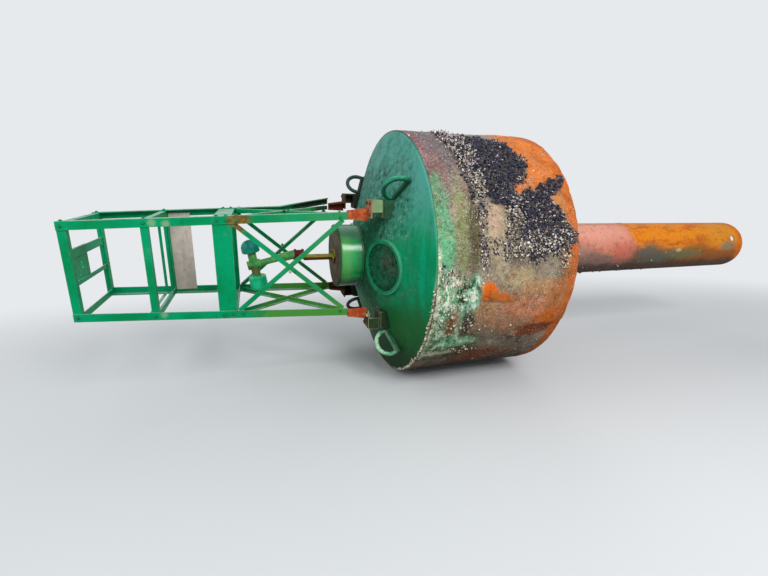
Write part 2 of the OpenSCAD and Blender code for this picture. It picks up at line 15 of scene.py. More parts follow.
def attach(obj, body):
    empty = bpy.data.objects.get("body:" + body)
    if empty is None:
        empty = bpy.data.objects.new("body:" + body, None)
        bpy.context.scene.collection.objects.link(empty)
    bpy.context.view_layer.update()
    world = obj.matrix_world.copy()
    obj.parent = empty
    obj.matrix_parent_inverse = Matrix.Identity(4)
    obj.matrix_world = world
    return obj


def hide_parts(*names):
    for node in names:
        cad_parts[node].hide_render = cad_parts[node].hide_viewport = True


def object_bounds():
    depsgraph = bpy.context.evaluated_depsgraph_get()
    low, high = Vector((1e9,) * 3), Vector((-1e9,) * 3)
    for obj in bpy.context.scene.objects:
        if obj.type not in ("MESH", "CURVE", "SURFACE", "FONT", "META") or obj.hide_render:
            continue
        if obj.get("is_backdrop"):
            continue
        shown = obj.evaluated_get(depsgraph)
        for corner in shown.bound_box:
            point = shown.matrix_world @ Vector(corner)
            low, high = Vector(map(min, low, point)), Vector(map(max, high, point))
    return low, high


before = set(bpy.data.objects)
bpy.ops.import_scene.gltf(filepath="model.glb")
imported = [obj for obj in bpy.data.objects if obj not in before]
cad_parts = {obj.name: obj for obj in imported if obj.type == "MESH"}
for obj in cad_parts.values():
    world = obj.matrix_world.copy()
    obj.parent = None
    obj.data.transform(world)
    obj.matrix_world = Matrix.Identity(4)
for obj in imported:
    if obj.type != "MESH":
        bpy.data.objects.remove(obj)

cad_low, cad_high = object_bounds()
print("CAD box", [round(v, 3) for v in cad_low], [round(v, 3) for v in cad_high])

# %% [markdown]
# ## The buoy's own axes
# The buoy lies on its side and has rolled a little about its long axis. It is easier to
# say "0.4 m below the upper rim, 70 degrees round from the top" than to give a point in
# the room. So every place on the buoy is first worked out in the buoy's axes: t runs
# along the axis towards the tail from the hull's upper rim, y points away from the
# camera and z points up before the roll.

# %% Sizes repeated from the CAD source, in metres
HULL_R, HULL_LEN = 1.219, 1.338
HEAD_RISE, LAND_R, DISH_RISE = 0.325, 0.340, 0.260
TUBE_R, TAIL_END, COLLAR_TOP, COVER_T = 0.312, 5.224, 0.562, 0.020
POCKET_R, POCKET_RING, POCKET_COVER = 0.606, 0.250, 0.006
TOWER_H, TOP_HALF, TAPER = 2.690, 0.390, 0.0403
ROLL = math.radians(5.3)
CENTRE = np.array([-1.267, 0.0, 1.219])


def to_part(t, y, z):
    """Buoy axes to part axes: turned by the roll about X, then moved to the hull's centre."""
    t, y, z = np.broadcast_arrays(t, y, z)
    c, s = math.cos(ROLL), math.sin(ROLL)
    return np.stack([t, y * c - z * s, y * s + z * c], axis=-1) + CENTRE


def in_part(t, y, z):
    """A direction given in the buoy's axes, in the part's axes."""
    return to_part(t, y, z) - CENTRE


def round_axis(t, degrees, radius):
    """A point at a radius from the axis, at an angle from the top towards the near side."""
    angle = np.radians(degrees)
    return to_part(t, -radius * np.sin(angle), radius * np.cos(angle))


def outward_at(t, degrees):
    """The direction straight away from the axis: a point one metre out less the axis's own."""
    return round_axis(t, degrees, 1.0) - round_axis(t, degrees, 0.0)


def around(sides):
    """Angles spaced evenly round a circle, in radians."""
    return np.linspace(0, 2 * np.pi, sides, endpoint=False)


def both_sides(degrees):
    """An angle from the top as -180 to 180 degrees: the near side is above 0, the far side below."""
    return (degrees + 180) % 360 - 180


def cone_t(radius):
    """Where the conical top plate lies along the axis at a radius: a straight line from the rim."""
    return -HEAD_RISE * (HULL_R - radius) / (HULL_R - LAND_R)


print("upper rim at X", round(CENTRE[0], 3), "tail end at X", round(CENTRE[0] + TAIL_END, 3))

# %% [markdown]
# ## Camera
# The photograph was taken with a wide lens from eye height, close to the buoy. The
# camera's place and turn come from fitting the hull, the tower and the tail tube to it,
# so the perspective matches: a wide lens near a long object bends its proportions, and
# no other distance would give the same picture.

# %% The camera at the photograph's viewing angle
LENS_MM, EYE = 17.82, (-2.5753, -3.8286, 1.6395)
RIGHT, AHEAD = Vector((0.94836, -0.31716, 0.00466)), Vector((0.31211, 0.93045, -0.19196))
photo_camera = bpy.data.cameras.new("photo_camera")
photo_camera.sensor_fit = "HORIZONTAL"
photo_camera.sensor_width = 36.0
photo_camera.lens = LENS_MM
photo_camera.clip_end = 200.0
camera = bpy.data.objects.new("photo_camera", photo_camera)
bpy.context.scene.collection.objects.link(camera)
above = RIGHT.cross(AHEAD)
turned = Matrix((RIGHT.normalized(), above.normalized(), -AHEAD.normalized())).transposed()
camera.matrix_world = Matrix.Translation(EYE) @ turned.to_4x4()
bpy.context.scene.camera = camera
print("lens", LENS_MM, "mm, eye height", round(EYE[2], 2), "m")

# %% [markdown]
# ## Colours and finishes
# Paint is written down in the way a painter reads it off a screen, from 0 to 255, and
# turned into the linear numbers that a shader mixes. A finish is a small network of
# nodes. The node editor shows such a network well, but it is slow to write by hand. So
# the first class below lays single nodes and patterns: noise for patches, spots for pits.


# %% A helper that lays nodes
def paint(colour):
    """Screen colour to linear colour: each channel over 255, to the power 2.2. What isn't a screen
    colour of three numbers, such as a node's output, is handed back as it is."""
    if isinstance(colour, tuple) and len(colour) == 3:
        return tuple((c / 255.0) ** 2.2 for c in colour) + (1.0,)
    return colour


class Network:
    """The nodes of a new material. Patterns read Object coordinates, which are metres, and a
    pattern that is given as a tuple of numbers is cloudy noise with these settings."""

    def __init__(self, name):
        self.name, self.made = name, 0
        self.material = bpy.data.materials.new(name)
        self.material.use_nodes = True
        self.tree = self.material.node_tree
        self.shader = self.tree.nodes["Principled BSDF"]
        self.place = self.put("ShaderNodeTexCoord", out="Object")

    def put(self, kind, values=(), out=0, **settings):
        """Adds a node, sets or links its inputs by name or number, and gives one output."""
        node = self.tree.nodes.new(kind)
        node.location = (-2400 + 180 * (self.made % 12), 500 - 220 * (self.made // 12))
        self.made += 1
        for key, value in settings.items():
            setattr(node, key, value)
        for key, value in dict(values).items():
            self.feed(node.inputs[key], value)
        return node.outputs[out]

    def feed(self, socket, value):
        """Links an output to a socket, or sets the socket's own number or colour."""
        if isinstance(value, bpy.types.NodeSocket):
            self.tree.links.new(value, socket)
        else:
            socket.default_value = value

    def maths(self, kind, a, b=0.0):
        """One or two numbers through an arithmetic step."""
        return self.put("ShaderNodeMath", {0: a, 1: b}, operation=kind)

    def add(self, a, b):
        """The sum of two numbers."""
        return self.maths("ADD", a, b)

    def times(self, first, *others):
        """The product of numbers."""
        for other in others:
            first = self.maths("MULTIPLY", first, other)
        return first

    def vector(self, kind, a, b=None, out=0):
        """One or two vectors through a step, which gives a vector or, from output Value, a number."""
        return self.put("ShaderNodeVectorMath", {0: a} if b is None else {0: a, 1: b}, out, operation=kind)

    def noise(self, scale, detail=6.0, rough=0.6, stretch=None):
        """Cloudy noise from 0 to 1, so many lumps a metre, drawn out along stretch."""
        place = self.vector("MULTIPLY", self.place, stretch) if stretch else self.place
        return self.put("ShaderNodeTexNoise", {"Vector": place, "Scale": scale, "Detail": detail,
                                               "Roughness": rough})

    def pattern(self, given):
        """A pattern as it is, or cloudy noise from a tuple of its settings."""
        return self.noise(*given) if isinstance(given, tuple) else given

    def spots(self, scale):
        """Distance to the nearest of scattered points, so many points a metre."""
        return self.put("ShaderNodeTexVoronoi", {"Vector": self.place, "Scale": scale}, "Distance")

    def rise(self, pattern, low, high):
        """0 below low, 1 above high and a soft step between, or the other way round."""
        return self.put("ShaderNodeMapRange", {"Value": self.pattern(pattern), "From Min": low,
                                               "From Max": high}, interpolation_type="SMOOTHSTEP")

    def own(self, name):
        """The number and the colour that the piece's own points carry under a name."""
        number = self.put("ShaderNodeAttribute", out="Fac", attribute_name=name)
        return number, number.node.outputs["Color"]


print("half of a screen's white is", round(paint((128, 128, 128))[0], 2), "of the light")

# %% [markdown]
# ## Layers of paint
# A painter lays one coat over another, and each finish here is written in that order. It
# starts from one colour. Every layer after it is a colour, a pattern that says where, and
# a share that says how thickly. Bumps stack in the same way. So a finish can be read as a
# recipe, from the first coat to the last stain.


# %% A helper that lays colours and bumps over each other
class Finish(Network):
    """One finish of the buoy: a colour made of layers and a normal made of bumps, each laid over
    what is there so far."""

    def __init__(self, name, roughness=0.6, gloss=0.3):
        super().__init__(name)
        self.colour, self.normal = None, None
        self.shader.inputs["Roughness"].default_value = roughness
        self.shader.inputs["Specular IOR Level"].default_value = gloss

    def mix(self, under, over, *amounts):
        """One colour laid over another by the product of the amounts, from 0 to 1."""
        return self.put("ShaderNodeMix", {0: self.times(*amounts), 6: paint(under), 7: paint(over)}, 2,
                        data_type="RGBA")

    def clouds(self, one, other, pattern, low=0.42, high=0.60):
        """A colour that goes from one to another where a pattern rises from low to high."""
        return self.mix(one, other, self.rise(pattern, low, high))

    def layer(self, over, *amounts):
        """Lays a colour over the finish so far, by the product of the amounts."""
        self.colour = self.mix(self.colour, over, *amounts)

    def worn(self, over, pattern, low, high, *shares):
        """Lays a colour over the finish where a pattern rises from low to high, up to a share."""
        self.layer(over, self.rise(pattern, low, high), *shares)

    def bumps(self, height, distance, strength):
        """Adds bumps that are distance metres high, from a height pattern, to the normal so far."""
        values = {"Height": self.pattern(height), "Distance": distance, "Strength": strength}
        if self.normal is not None:
            values["Normal"] = self.normal
        self.normal = self.put("ShaderNodeBump", values)

    def done(self, roughness=None):
        """Feeds the colour, the normal and a roughness pattern to the shader."""
        for socket, value in (("Base Color", self.colour), ("Roughness", roughness), ("Normal", self.normal)):
            if value is not None:
                self.feed(self.shader.inputs[socket], value)


def coat(finish, *nodes, roughness=None):
    """Ends a finish and puts it on CAD nodes, through their objects' material slots."""
    finish.done(roughness)
    for name in nodes:
        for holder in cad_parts[name].material_slots:
            holder.material = finish.material
    print(finish.name, "on", len(nodes), "nodes")


def corners(kind):
    """The four node names of a kind of piece that stands at each corner of the tower's foot."""
    return [f"{kind}_{side}_{level}" for side in ("near", "far") for level in ("top", "bottom")]


print("four of a kind:", *corners("foot"))

# %% [markdown]
# ## Floor, backdrop and light
# A plain pale floor runs into a plain pale world, so nothing competes with the buoy. Far
# from the buoy the floor fades into the same pale tone as the world, and no line shows
# between them. The camera and the reflections see that pale tone. For the light that
# bounces from the floor up to the buoy it is darker, and the underside of the hull stays
# in shade.

# %% Floor and world
PALE = (0.80, 0.82, 0.84, 1.0)
FLOOR_SEEN, FLOOR_BOUNCE = (0.68, 0.69, 0.70, 1.0), (0.20, 0.19, 0.18, 1.0)
FLOOR_R, FLOOR_DROP, FLOOR_SIDES = 80.0, 0.001, 96
bpy.context.scene.view_settings.view_transform = "Standard"


def seen_directly(tree):
    """1 for rays from the camera, a mirror or glass, else 0: the largest of the three flags."""
    path = tree.nodes.new("ShaderNodeLightPath")
    flags = [path.outputs[name] for name in ("Is Camera Ray", "Is Glossy Ray", "Is Transmission Ray")]
    for flag in flags[1:]:
        larger = tree.nodes.new("ShaderNodeMath")
        larger.operation = "MAXIMUM"
        tree.links.new(flags[0], larger.inputs[0])
        tree.links.new(flag, larger.inputs[1])
        flags[0] = larger.outputs[0]
    return flags[0]


floor_finish = Finish("floor_pale", roughness=0.95)
floor_finish.colour = floor_finish.mix(FLOOR_BOUNCE, FLOOR_SEEN, seen_directly(floor_finish.tree))
floor_finish.done()
spread = floor_finish.vector("MULTIPLY", floor_finish.place, (0.18, 0.36, 1.0))
fade = floor_finish.rise(floor_finish.vector("LENGTH", spread, out="Value"), 0.75, 2.0)
glow = floor_finish.put("ShaderNodeEmission", {"Color": PALE, "Strength": 1.0})
blend = floor_finish.put("ShaderNodeMixShader", {0: fade, 1: floor_finish.shader.outputs[0], 2: glow})
floor_finish.feed(floor_finish.tree.nodes["Material Output"].inputs["Surface"], blend)
ring = around(FLOOR_SIDES)
floor_points = np.stack([FLOOR_R * np.cos(ring), FLOOR_R * np.sin(ring), 0 * ring - FLOOR_DROP], 1)
floor_mesh = bpy.data.meshes.new("floor")
floor_mesh.from_pydata(floor_points.tolist(), [], [list(range(FLOOR_SIDES))])
floor_mesh.materials.append(floor_finish.material)
floor = bpy.data.objects.new("floor", floor_mesh)
bpy.context.scene.collection.objects.link(floor)
floor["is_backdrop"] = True

world = bpy.data.worlds.new("pale_world")
bpy.context.scene.world = world
world.use_nodes = True
backdrop = world.node_tree
lit = backdrop.nodes["Background"]
lit.inputs["Color"].default_value = (0.90, 0.96, 1.0, 1.0)
lit.inputs["Strength"].default_value = 0.50
shown = backdrop.nodes.new("ShaderNodeBackground")
shown.inputs["Color"].default_value = PALE
backdrop_mix = backdrop.nodes.new("ShaderNodeMixShader")
backdrop.links.new(seen_directly(backdrop), backdrop_mix.inputs[0])
backdrop.links.new(lit.outputs[0], backdrop_mix.inputs[1])
backdrop.links.new(shown.outputs[0], backdrop_mix.inputs[2])
backdrop.links.new(backdrop_mix.outputs[0], backdrop.nodes["World Output"].inputs["Surface"])
print("floor and world ready")


# %% Soft lamps
def softbox(name, place, aim, size, watts):
    """A square lamp at a place, turned towards a point."""
    data = bpy.data.lights.new(name, "AREA")
    data.shape, data.size, data.energy = "SQUARE", size, watts
    lamp = bpy.data.objects.new(name, data)
    bpy.context.scene.collection.objects.link(lamp)
    lamp.location = place
    lamp.rotation_euler = (Vector(aim) - Vector(place)).to_track_quat("-Z", "Y").to_euler()
    return lamp


softbox("sky_light", (-0.3, -7.2, 6.2), (-0.4, 0.0, 1.0), 3.0, 470.0)
softbox("tower_light", (-8.5, -3.0, 4.5), (-0.8, 0.0, 1.0), 5.0, 190.0)
softbox("far_light", (4.0, 7.0, 7.0), (0.0, 0.0, 1.0), 5.0, 220.0)
print("three lamps")

# %% [markdown]
# ## Noise and meshes from arrays
# The crust on the hull needs the same ragged patches three times: as colour, as relief,
# and to say where mussels may sit. So its noise is worked out here with numpy, and the
# results are stored on the mesh, where the finish reads them. Each mesh below is a grid
# of points or many copies of one small shape, computed as whole arrays.


# %% Noise on arrays of points
def cell_value(cell, seed):
    """A number from 0 to 1 for each whole-numbered cell: its three numbers mixed by products and
    shifts."""
    mixed = cell[..., 0] * 73856093 ^ cell[..., 1] * 19349663 ^ cell[..., 2] * 83492791 ^ seed * 2654435
    mixed = (mixed ^ (mixed >> 13)) * 1274126177
    return ((mixed ^ (mixed >> 16)) & 0xFFFF) / 65535.0


def cloud(points, lumps, seed=0, octaves=4):
    """Cloudy noise from -1 to 1: random numbers at the corners of a lattice with so many lumps a
    metre, blended smoothly between the corners, with finer and weaker copies added on top."""
    total, weight, weights = 0.0, 1.0, 0.0
    for octave in range(octaves):
        place = points * lumps * 2 ** octave
        cell = np.floor(place).astype(np.int64)
        part = place - cell
        part = part * part * (3 - 2 * part)
        value = 0.0
        for corner in np.ndindex(2, 2, 2):
            share = np.prod(np.where(np.array(corner) > 0, part, 1 - part), axis=-1)
            value = value + share * cell_value(cell + np.array(corner), seed + octave)
        total = total + weight * (2 * value - 1)
        weights += weight
        weight *= 0.55
    return 1.6 * total / weights


def step(value, low, high):
    """0 below low, 1 above high, with the smooth cubic step between."""
    share = np.clip((value - low) / (high - low), 0, 1)
    return share * share * (3 - 2 * share)


print("noise at three places", np.round(cloud(np.eye(3), 3.0), 2))

# %% Pieces from grids and from copies
def make_piece(name, points, faces, finish, slot=None, smooth=True, **numbers):
    """A mesh that rides on the buoy. The faces come as groups of equal-sided rows. Each number or colour is
    given for every point, for the finish to read. The slot is not used."""
    listed = [row for group in faces for row in np.asarray(group).tolist()]
    mesh = bpy.data.meshes.new(name)
    mesh.from_pydata(np.asarray(points).reshape(-1, 3).tolist(), [], listed)
    mesh.polygons.foreach_set("use_smooth", np.full(len(mesh.polygons), smooth))
    for key, values in numbers.items():
        values = np.asarray(values, dtype=np.float32)
        coloured = values.ndim > 1
        held = mesh.attributes.new(key, "FLOAT_COLOR" if coloured else "FLOAT", "POINT")
        held.data.foreach_set("color" if coloured else "value", values.ravel())
    mesh.materials.append(finish.material)
    mesh.update()
    piece = bpy.data.objects.new(name, mesh)
    bpy.context.scene.collection.objects.link(piece)
    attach(piece, "root")
    slot or finish.name
    mesh.calc_loop_triangles()
    print(name, len(mesh.loop_triangles), "triangles")
    return piece


def grid_faces(rows, columns, wrap_rows=False):
    """Four-sided faces between neighbouring points of a grid whose columns go once round."""
    r = np.arange(rows if wrap_rows else rows - 1)[:, None]
    c = np.arange(columns)[None, :]
    after_r, after_c = (r + 1) % rows, (c + 1) % columns
    ends = [r * columns + c, after_r * columns + c, after_r * columns + after_c, r * columns + after_c]
    return np.stack([np.broadcast_to(k, (r.size, c.size)) for k in ends], -1).reshape(-1, 4)


def closed_rings(rings, low_end, high_end):
    """Points and faces of a closed form: rings of points one above the other, and one point at
    each end, from which a fan of triangles closes the first and the last ring."""
    count, sides = rings.shape[:2]
    k, last = np.arange(sides), count * sides
    after = (k + 1) % sides
    low_fan = np.stack([np.full(sides, last), after, k], 1)
    high_fan = np.stack([np.full(sides, last + 1), last - sides + k, last - sides + after], 1)
    points = np.concatenate([rings.reshape(-1, 3), [low_end, high_end]])
    return points, [grid_faces(count, sides)[:, ::-1], low_fan, high_fan]


def facing(directions, spins):
    """Frames whose third axis is a direction and whose first axis is spun about it by an angle."""
    third = directions / np.linalg.norm(directions, axis=1, keepdims=True)
    helper = np.where(np.abs(third[:, :1]) < 0.9, [[1.0, 0, 0]], [[0, 1.0, 0]])
    side = np.cross(helper, third)
    side /= np.linalg.norm(side, axis=1, keepdims=True)
    first = side * np.cos(spins)[:, None] + np.cross(third, side) * np.sin(spins)[:, None]
    return np.stack([first, np.cross(third, first), third], axis=2)


def strew(name, shape, places, frames, sizes, finish, slot=None, smooth=True, **numbers):
    """One piece from copies of a shape's points and faces: each copy is scaled, on its own three
    axes where three sizes are given, turned into its frame and moved to its place, and it gets a
    random number called lot."""
    points, faces = shape
    copies = np.einsum("nij,nkj->nki", frames, points[None] * sizes[:, None, :]) + places[:, None, :]
    first = np.arange(len(places))[:, None, None] * len(points)
    groups = [(np.asarray(group)[None] + first).reshape(-1, np.shape(group)[-1]) for group in faces]
    lot = np.repeat(np.random.default_rng(len(places)).random(len(places)), len(points))
    spread = {key: np.tile(values, len(places)) for key, values in numbers.items()}
    return make_piece(name, copies, groups, finish, slot, smooth, lot=lot, **spread)


print("a tube of 4 rings of 8 points has", len(grid_faces(4, 8)), "faces")

# %% [markdown]
# ## The hull's side as a map
# The drum was red below the waterline. Now it is a chart of its years afloat: faded
# antifouling near the upper rim, a green and an olive band of weed, pale bleached algae
# low on the near side, black mussel beds, bare tan steel and bright orange rust towards
# the lower rim. The table lists these patches in the order in which they lie on each
# other. Each is an ellipse on the unrolled side, and noise bends its outline. The side
# that the photograph hides repeats the map the other way round, bent by other noise.

# %% The patches of the hull
HULL_PATCHES = [
    # name, screen colour, along in m, angle, half along in m, half angle, tilt in degrees, softness
    ("grey tan", (138, 125, 106), 0.85, 84, 0.42, 12, 0, 0.4),
    ("grey low", (122, 112, 94), 0.66, 115, 0.34, 8, 0, 0.3),
    # painted shade on the drum's underside; the next row is its rust darkened by painted shade
    ("dark under", (52, 38, 28), 0.70, 160, 0.90, 36, 0, 0.4),
    ("rusty under", (122, 66, 28), 0.62, 131, 0.34, 6, 0, 0.3),
    ("faded mauve", (108, 96, 99), 0.16, 8, 0.34, 52, 0, 0.4),
    ("brown edge", (88, 77, 75), 0.36, 36, 0.06, 42, 0, 0.6),
    ("pink stain", (128, 84, 94), 0.05, 24, 0.035, 24, 0, 0.7),
    ("pink spot", (126, 94, 90), 0.12, 46, 0.06, 10, 0, 0.7),
    ("green weed", (92, 150, 110), 0.06, 71, 0.11, 18, 0, 0.3),
    ("clean green", (92, 164, 118), 0.06, 78, 0.08, 10, 0, 0.5),
    ("olive weed", (128, 133, 90), 0.23, 70, 0.07, 21, 0, 0.4),
    ("dark olive", (88, 82, 56), 0.325, 75, 0.05, 22, 0, 0.5),
    ("tan smooth", (158, 142, 116), 0.57, 77, 0.13, 13, 0, 0.3),
    ("pink tan", (184, 156, 130), 0.52, 67, 0.06, 6, 0, 0.4),
    ("grey patch", (120, 108, 94), 0.73, 78, 0.08, 14, 0, 0.5),
    ("golden tan", (160, 140, 106), 0.76, 90, 0.14, 4, 0, 0.5),
    ("peach", (172, 128, 86), 1.02, 97, 0.24, 6, 4, 0.4),
    ("brown low", (164, 118, 88), 0.72, 105, 0.32, 9, 2, 0.4),
    ("rose low", (202, 130, 92), 0.94, 102.5, 0.24, 4, 2, 0.4),
    ("tan run", (170, 124, 84), 0.50, 102, 0.10, 3, 6, 0.4),
    ("orange roof", (208, 112, 40), 1.24, 18, 0.30, 36, 0, 0.22),
    ("orange lobe", (206, 110, 40), 1.16, 47, 0.24, 12, 0, 0.22),
    ("orange tongue", (196, 112, 54), 0.90, 51, 0.17, 5, -8, 0.22),
    ("orange shoulder", (184, 116, 66), 1.22, 58, 0.14, 8, 0, 0.3),
    ("orange side", (176, 108, 62), 1.28, 78, 0.09, 30, 0, 0.4),
    ("orange foot", (180, 112, 64), 1.20, 99, 0.12, 8, 0, 0.4),
    ("orange low", (196, 98, 22), 1.20, 108, 0.22, 5, -8, 0.3),
    # rust darkened by painted shade, low on the near side
    ("burnt low", (120, 58, 18), 1.12, 114, 0.20, 4, -6, 0.4),
    ("orange streak", (222, 104, 8), 0.46, 94, 0.09, 3.6, 8, 0.22),
    ("orange run", (190, 104, 40), 0.62, 97, 0.12, 1.8, 10, 0.4),
    ("dark green", (70, 66, 42), 0.26, 123, 0.26, 9, 0, 0.4),
    ("low algae", (84, 132, 86), 0.10, 112, 0.17, 13, 0, 0.4),
    ("pale algae", (112, 176, 132), 0.15, 97, 0.21, 11, 0, 0.3),
    ("algae's pale top", (176, 186, 150), 0.22, 90, 0.10, 2.6, 0, 0.5),
    ("mint algae", (170, 222, 192), 0.33, 94, 0.07, 7, 0, 0.5),
    ("mint low algae", (136, 196, 150), 0.24, 118, 0.24, 2.4, 2, 0.5),
    ("rim algae", (214, 214, 180), 0.010, 101, 0.024, 24, 0, 0.6),
    ("brown hollow", (122, 80, 42), 0.195, 107, 0.05, 6, 0, 0.5),
    ("dark hollow", (50, 48, 34), 0.34, 108, 0.06, 5, 0, 0.5),
    ("pale stripe", (196, 200, 168), 0.12, 125.5, 0.14, 1.6, 0, 0.5),
]
BED_PATCHES = [
    ("upper bed", 0.68, 34, 0.27, 17, 0),
    ("bed's foot", 0.62, 53, 0.14, 10, 0),
    ("lower bed", 1.04, 71.5, 0.27, 11, 0),
    ("lower bed's head", 0.95, 61, 0.20, 6, 0),
    ("tongue", 1.12, 54, 0.17, 3, -32),
]
SHELL_PATCHES = [
    ("shell band", 0.40, 38, 0.075, 34, 0),
    ("band's foot", 0.41, 76, 0.05, 15, 0),
    ("bed's edge", 0.86, 77, 0.40, 5, 0),
    ("beside the bed", 0.72, 65, 0.08, 7, 0),
    ("rim", 1.20, 78, 0.06, 12, 0),
    ("algae", 0.14, 99, 0.20, 11, 0),
    ("shell streaks", 0.35, 108.5, 0.08, 5, 0),
    ("low streaks", 0.34, 124, 0.22, 3, 0),
    ("algae's top", 0.12, 87, 0.14, 2.5, 0),
]


def patch(t, degrees, middle, turn, half_t, half_turn, tilt, edge, soft=0.22):
    """1 inside an ellipse on the unrolled drum and 0 outside. The distance from its middle is
    taken in metres both ways, turned by the tilt and divided by its half sizes, and the edge
    noise is added to it."""
    u, v = t - middle, HULL_R * np.radians(np.abs(degrees) - turn)
    c, s = math.cos(math.radians(tilt)), math.sin(math.radians(tilt))
    across = (u * c + v * s) / half_t
    down = (v * c - u * s) / (HULL_R * math.radians(half_turn))
    return step(np.sqrt(across ** 2 + down ** 2) + edge, 1 + soft, 1 - soft)


def edge_noise(points, seed):
    """What bends a patch's outline: broad lobes, with ragged small ones on top."""
    return 0.34 * cloud(points, 3.1, seed, 3) + 0.22 * cloud(points, 17.0, seed + 9, 3)


def bed_share(t, degrees, points):
    """Where mussels cover the hull: the largest of the bed patches."""
    edge = edge_noise(points, 40)
    return np.max([patch(t, degrees, *row[1:], edge) for row in BED_PATCHES], axis=0)


def shell_share(t, degrees, points):
    """Where pale shells sit: the largest of the shell patches, with soft edges."""
    edge = edge_noise(points, 55) * 1.3
    return np.max([patch(t, degrees, *row[1:], edge, 0.5) for row in SHELL_PATCHES], axis=0)


print(len(HULL_PATCHES), "colour patches,", len(BED_PATCHES), "beds")

# %% [markdown]
# ## The crust on the hull
# Rust scale, old paint and the mussels' root threads make a crust that stands a few
# millimetres off the steel, and more at the lower rim, where the plate has blistered. A
# bump map can't change an outline, and the outline against the backdrop is where the
# crust shows best. So the crust is a real closed skin: a profile runs along the drum, round
# the lower edge and back inside, and is carried round the axis. Columns lie closer on
# the near side, which is looked at from a few steps away.

# %% The skin's profile
SIDE_ROWS, NEAR_COLUMNS, FAR_COLUMNS = 172, 280, 190
START_TURN, SPLIT_TURN = -8.0, 134.0
LIP_T, LIP_IN = np.array([0.006, 0.020, 0.030]), np.array([0.004, 0.016, 0.040])
BACK_T, BACK_IN = [1.25, 0.70, 0.10], 0.05
out_t = np.concatenate([np.linspace(0.004, HULL_LEN - 0.01, SIDE_ROWS), HULL_LEN + LIP_T])
out_r = np.concatenate([np.full(SIDE_ROWS, HULL_R), HULL_R - LIP_IN])
row_t = np.concatenate([out_t, BACK_T])
row_r = np.concatenate([out_r, np.full(len(BACK_T), HULL_R - BACK_IN)])
column_turn = np.concatenate([np.linspace(START_TURN, SPLIT_TURN, NEAR_COLUMNS, endpoint=False),
                              np.linspace(SPLIT_TURN, START_TURN + 360, FAR_COLUMNS, endpoint=False)])
turn_grid = np.broadcast_to(column_turn, (len(row_t), len(column_turn)))
t_grid = np.broadcast_to(row_t[:, None], turn_grid.shape)
signed = both_sides(turn_grid)
base = round_axis(t_grid, turn_grid, row_r[:, None])
hull_edge = edge_noise(base, 1)
print("crust grid", t_grid.shape)


# %% Where the crust grows, and how high
def share_of(word):
    """Where the patches lie whose names hold a word: the largest of them."""
    rows = [row for row in HULL_PATCHES if word in row[0]]
    return np.max([patch(t_grid, signed, *row[2:7], hull_edge, row[7]) for row in rows], axis=0)


SCALE_H, LUMP_H, BED_H, SHELL_H = 0.004, 0.0025, 0.012, 0.005
BLISTER_H, LOW_END_H, WAVE_H = 0.010, 0.010, 0.006
KNOBS, KNOB_H, KNOB_R = ((0.870, 117.0), (0.666, 122.0)), 0.022, 0.060
beds, shells = bed_share(t_grid, signed, base), shell_share(t_grid, signed, base)
RIM_FROM, RIM_TO, JUST_OVER_FLOOR = 1.235, 1.275, 0.0005
rim_share = step(t_grid + 0.05 * hull_edge, RIM_FROM, RIM_TO)
orange, algae = share_of("orange"), share_of("algae") * (1 - 0.8 * share_of("hollow"))
algae = algae * (1 - 0.30 * step(np.abs(signed), 97, 103))
lumps = cloud(base, 24.0, 70, 4)
height = SCALE_H + LUMP_H * lumps + BED_H * beds * (1 + 0.5 * lumps) + SHELL_H * shells
blisters = orange * (1 + 0.5 * cloud(base, 8.0, 75, 4))
height = height + BLISTER_H * blisters + LOW_END_H * step(t_grid, 0.5, 1.3)
for knob_t, knob_turn in KNOBS:
    far = np.hypot(t_grid - knob_t, HULL_R * np.radians(signed - knob_turn))
    height = height + KNOB_H * step(far, KNOB_R, 0.2 * KNOB_R)
height = height + WAVE_H * cloud(base, 2.2, 80, 2) * step(t_grid, 0.0, 0.2)
height = height * step(t_grid, -0.01, 0.03)
on_outside = (np.arange(len(row_t)) < len(out_t))[:, None]
skin = base + np.where(on_outside, height, 0.0)[..., None] * outward_at(t_grid, turn_grid)
skin[..., 2] = np.maximum(skin[..., 2], JUST_OVER_FLOOR)
print("crust up to", round(float(height.max()) * 1000), "mm thick")

# %% Colours of the crust
tone = np.broadcast_to(np.array(paint((146, 131, 112))), skin.shape[:2] + (4,)).copy()
tone_layers = [(colour, patch(t_grid, signed, *shape, hull_edge, soft))
               for _, colour, *shape, soft in HULL_PATCHES]
for colour, share in tone_layers + [((190, 98, 38), rim_share), ((40, 39, 46), 0.92 * beds)]:
    tone = tone * (1 - share[..., None]) + np.array(paint(colour)) * share[..., None]
mottling = 1 + 0.20 * cloud(base, 9.0, 90, 3) + 0.22 * cloud(base, 42.0, 93, 2) * (1 - 0.5 * orange)
tone[..., :3] *= mottling[..., None]
print("mean tone of the crust", np.round(tone.mean(axis=(0, 1))[:3], 3))

# %% The crust's finish and the piece
crust = Finish("hull_fouled", roughness=0.85)
bed_amount, weed_amount, gritty = (crust.own(name)[0] for name in ("bed", "weed", "gritty"))
crust.colour = crust.own("tone")[1]
crust.worn((50, 38, 30), (15.0, 9.0, 0.75), 0.50, 0.68, 0.6)
crust.worn((176, 98, 48), (8.0, 8.0, 0.7), 0.58, 0.70, 0.35)
grit, strands = crust.noise(58.0, 5.0, 0.7), crust.noise(17.0, 9.0, 0.74, (1.0, 1.0, 0.6))
for tint, pattern, low, high, *amounts in (
        ((208, 196, 174), grit, 0.54, 0.66, gritty), ((44, 36, 30), grit, 0.46, 0.36, gritty),
        ((236, 240, 218), strands, 0.53, 0.56, weed_amount),
        ((56, 128, 80), strands, 0.485, 0.465, weed_amount, 0.7),
        ((46, 40, 28), strands, 0.445, 0.425, weed_amount, 0.95)):
    crust.worn(tint, pattern, low, high, *amounts)
speck = crust.times(crust.rise(crust.spots(70.0), 0.34, 0.22), crust.rise((7.0, 3.0), 0.45, 0.60))
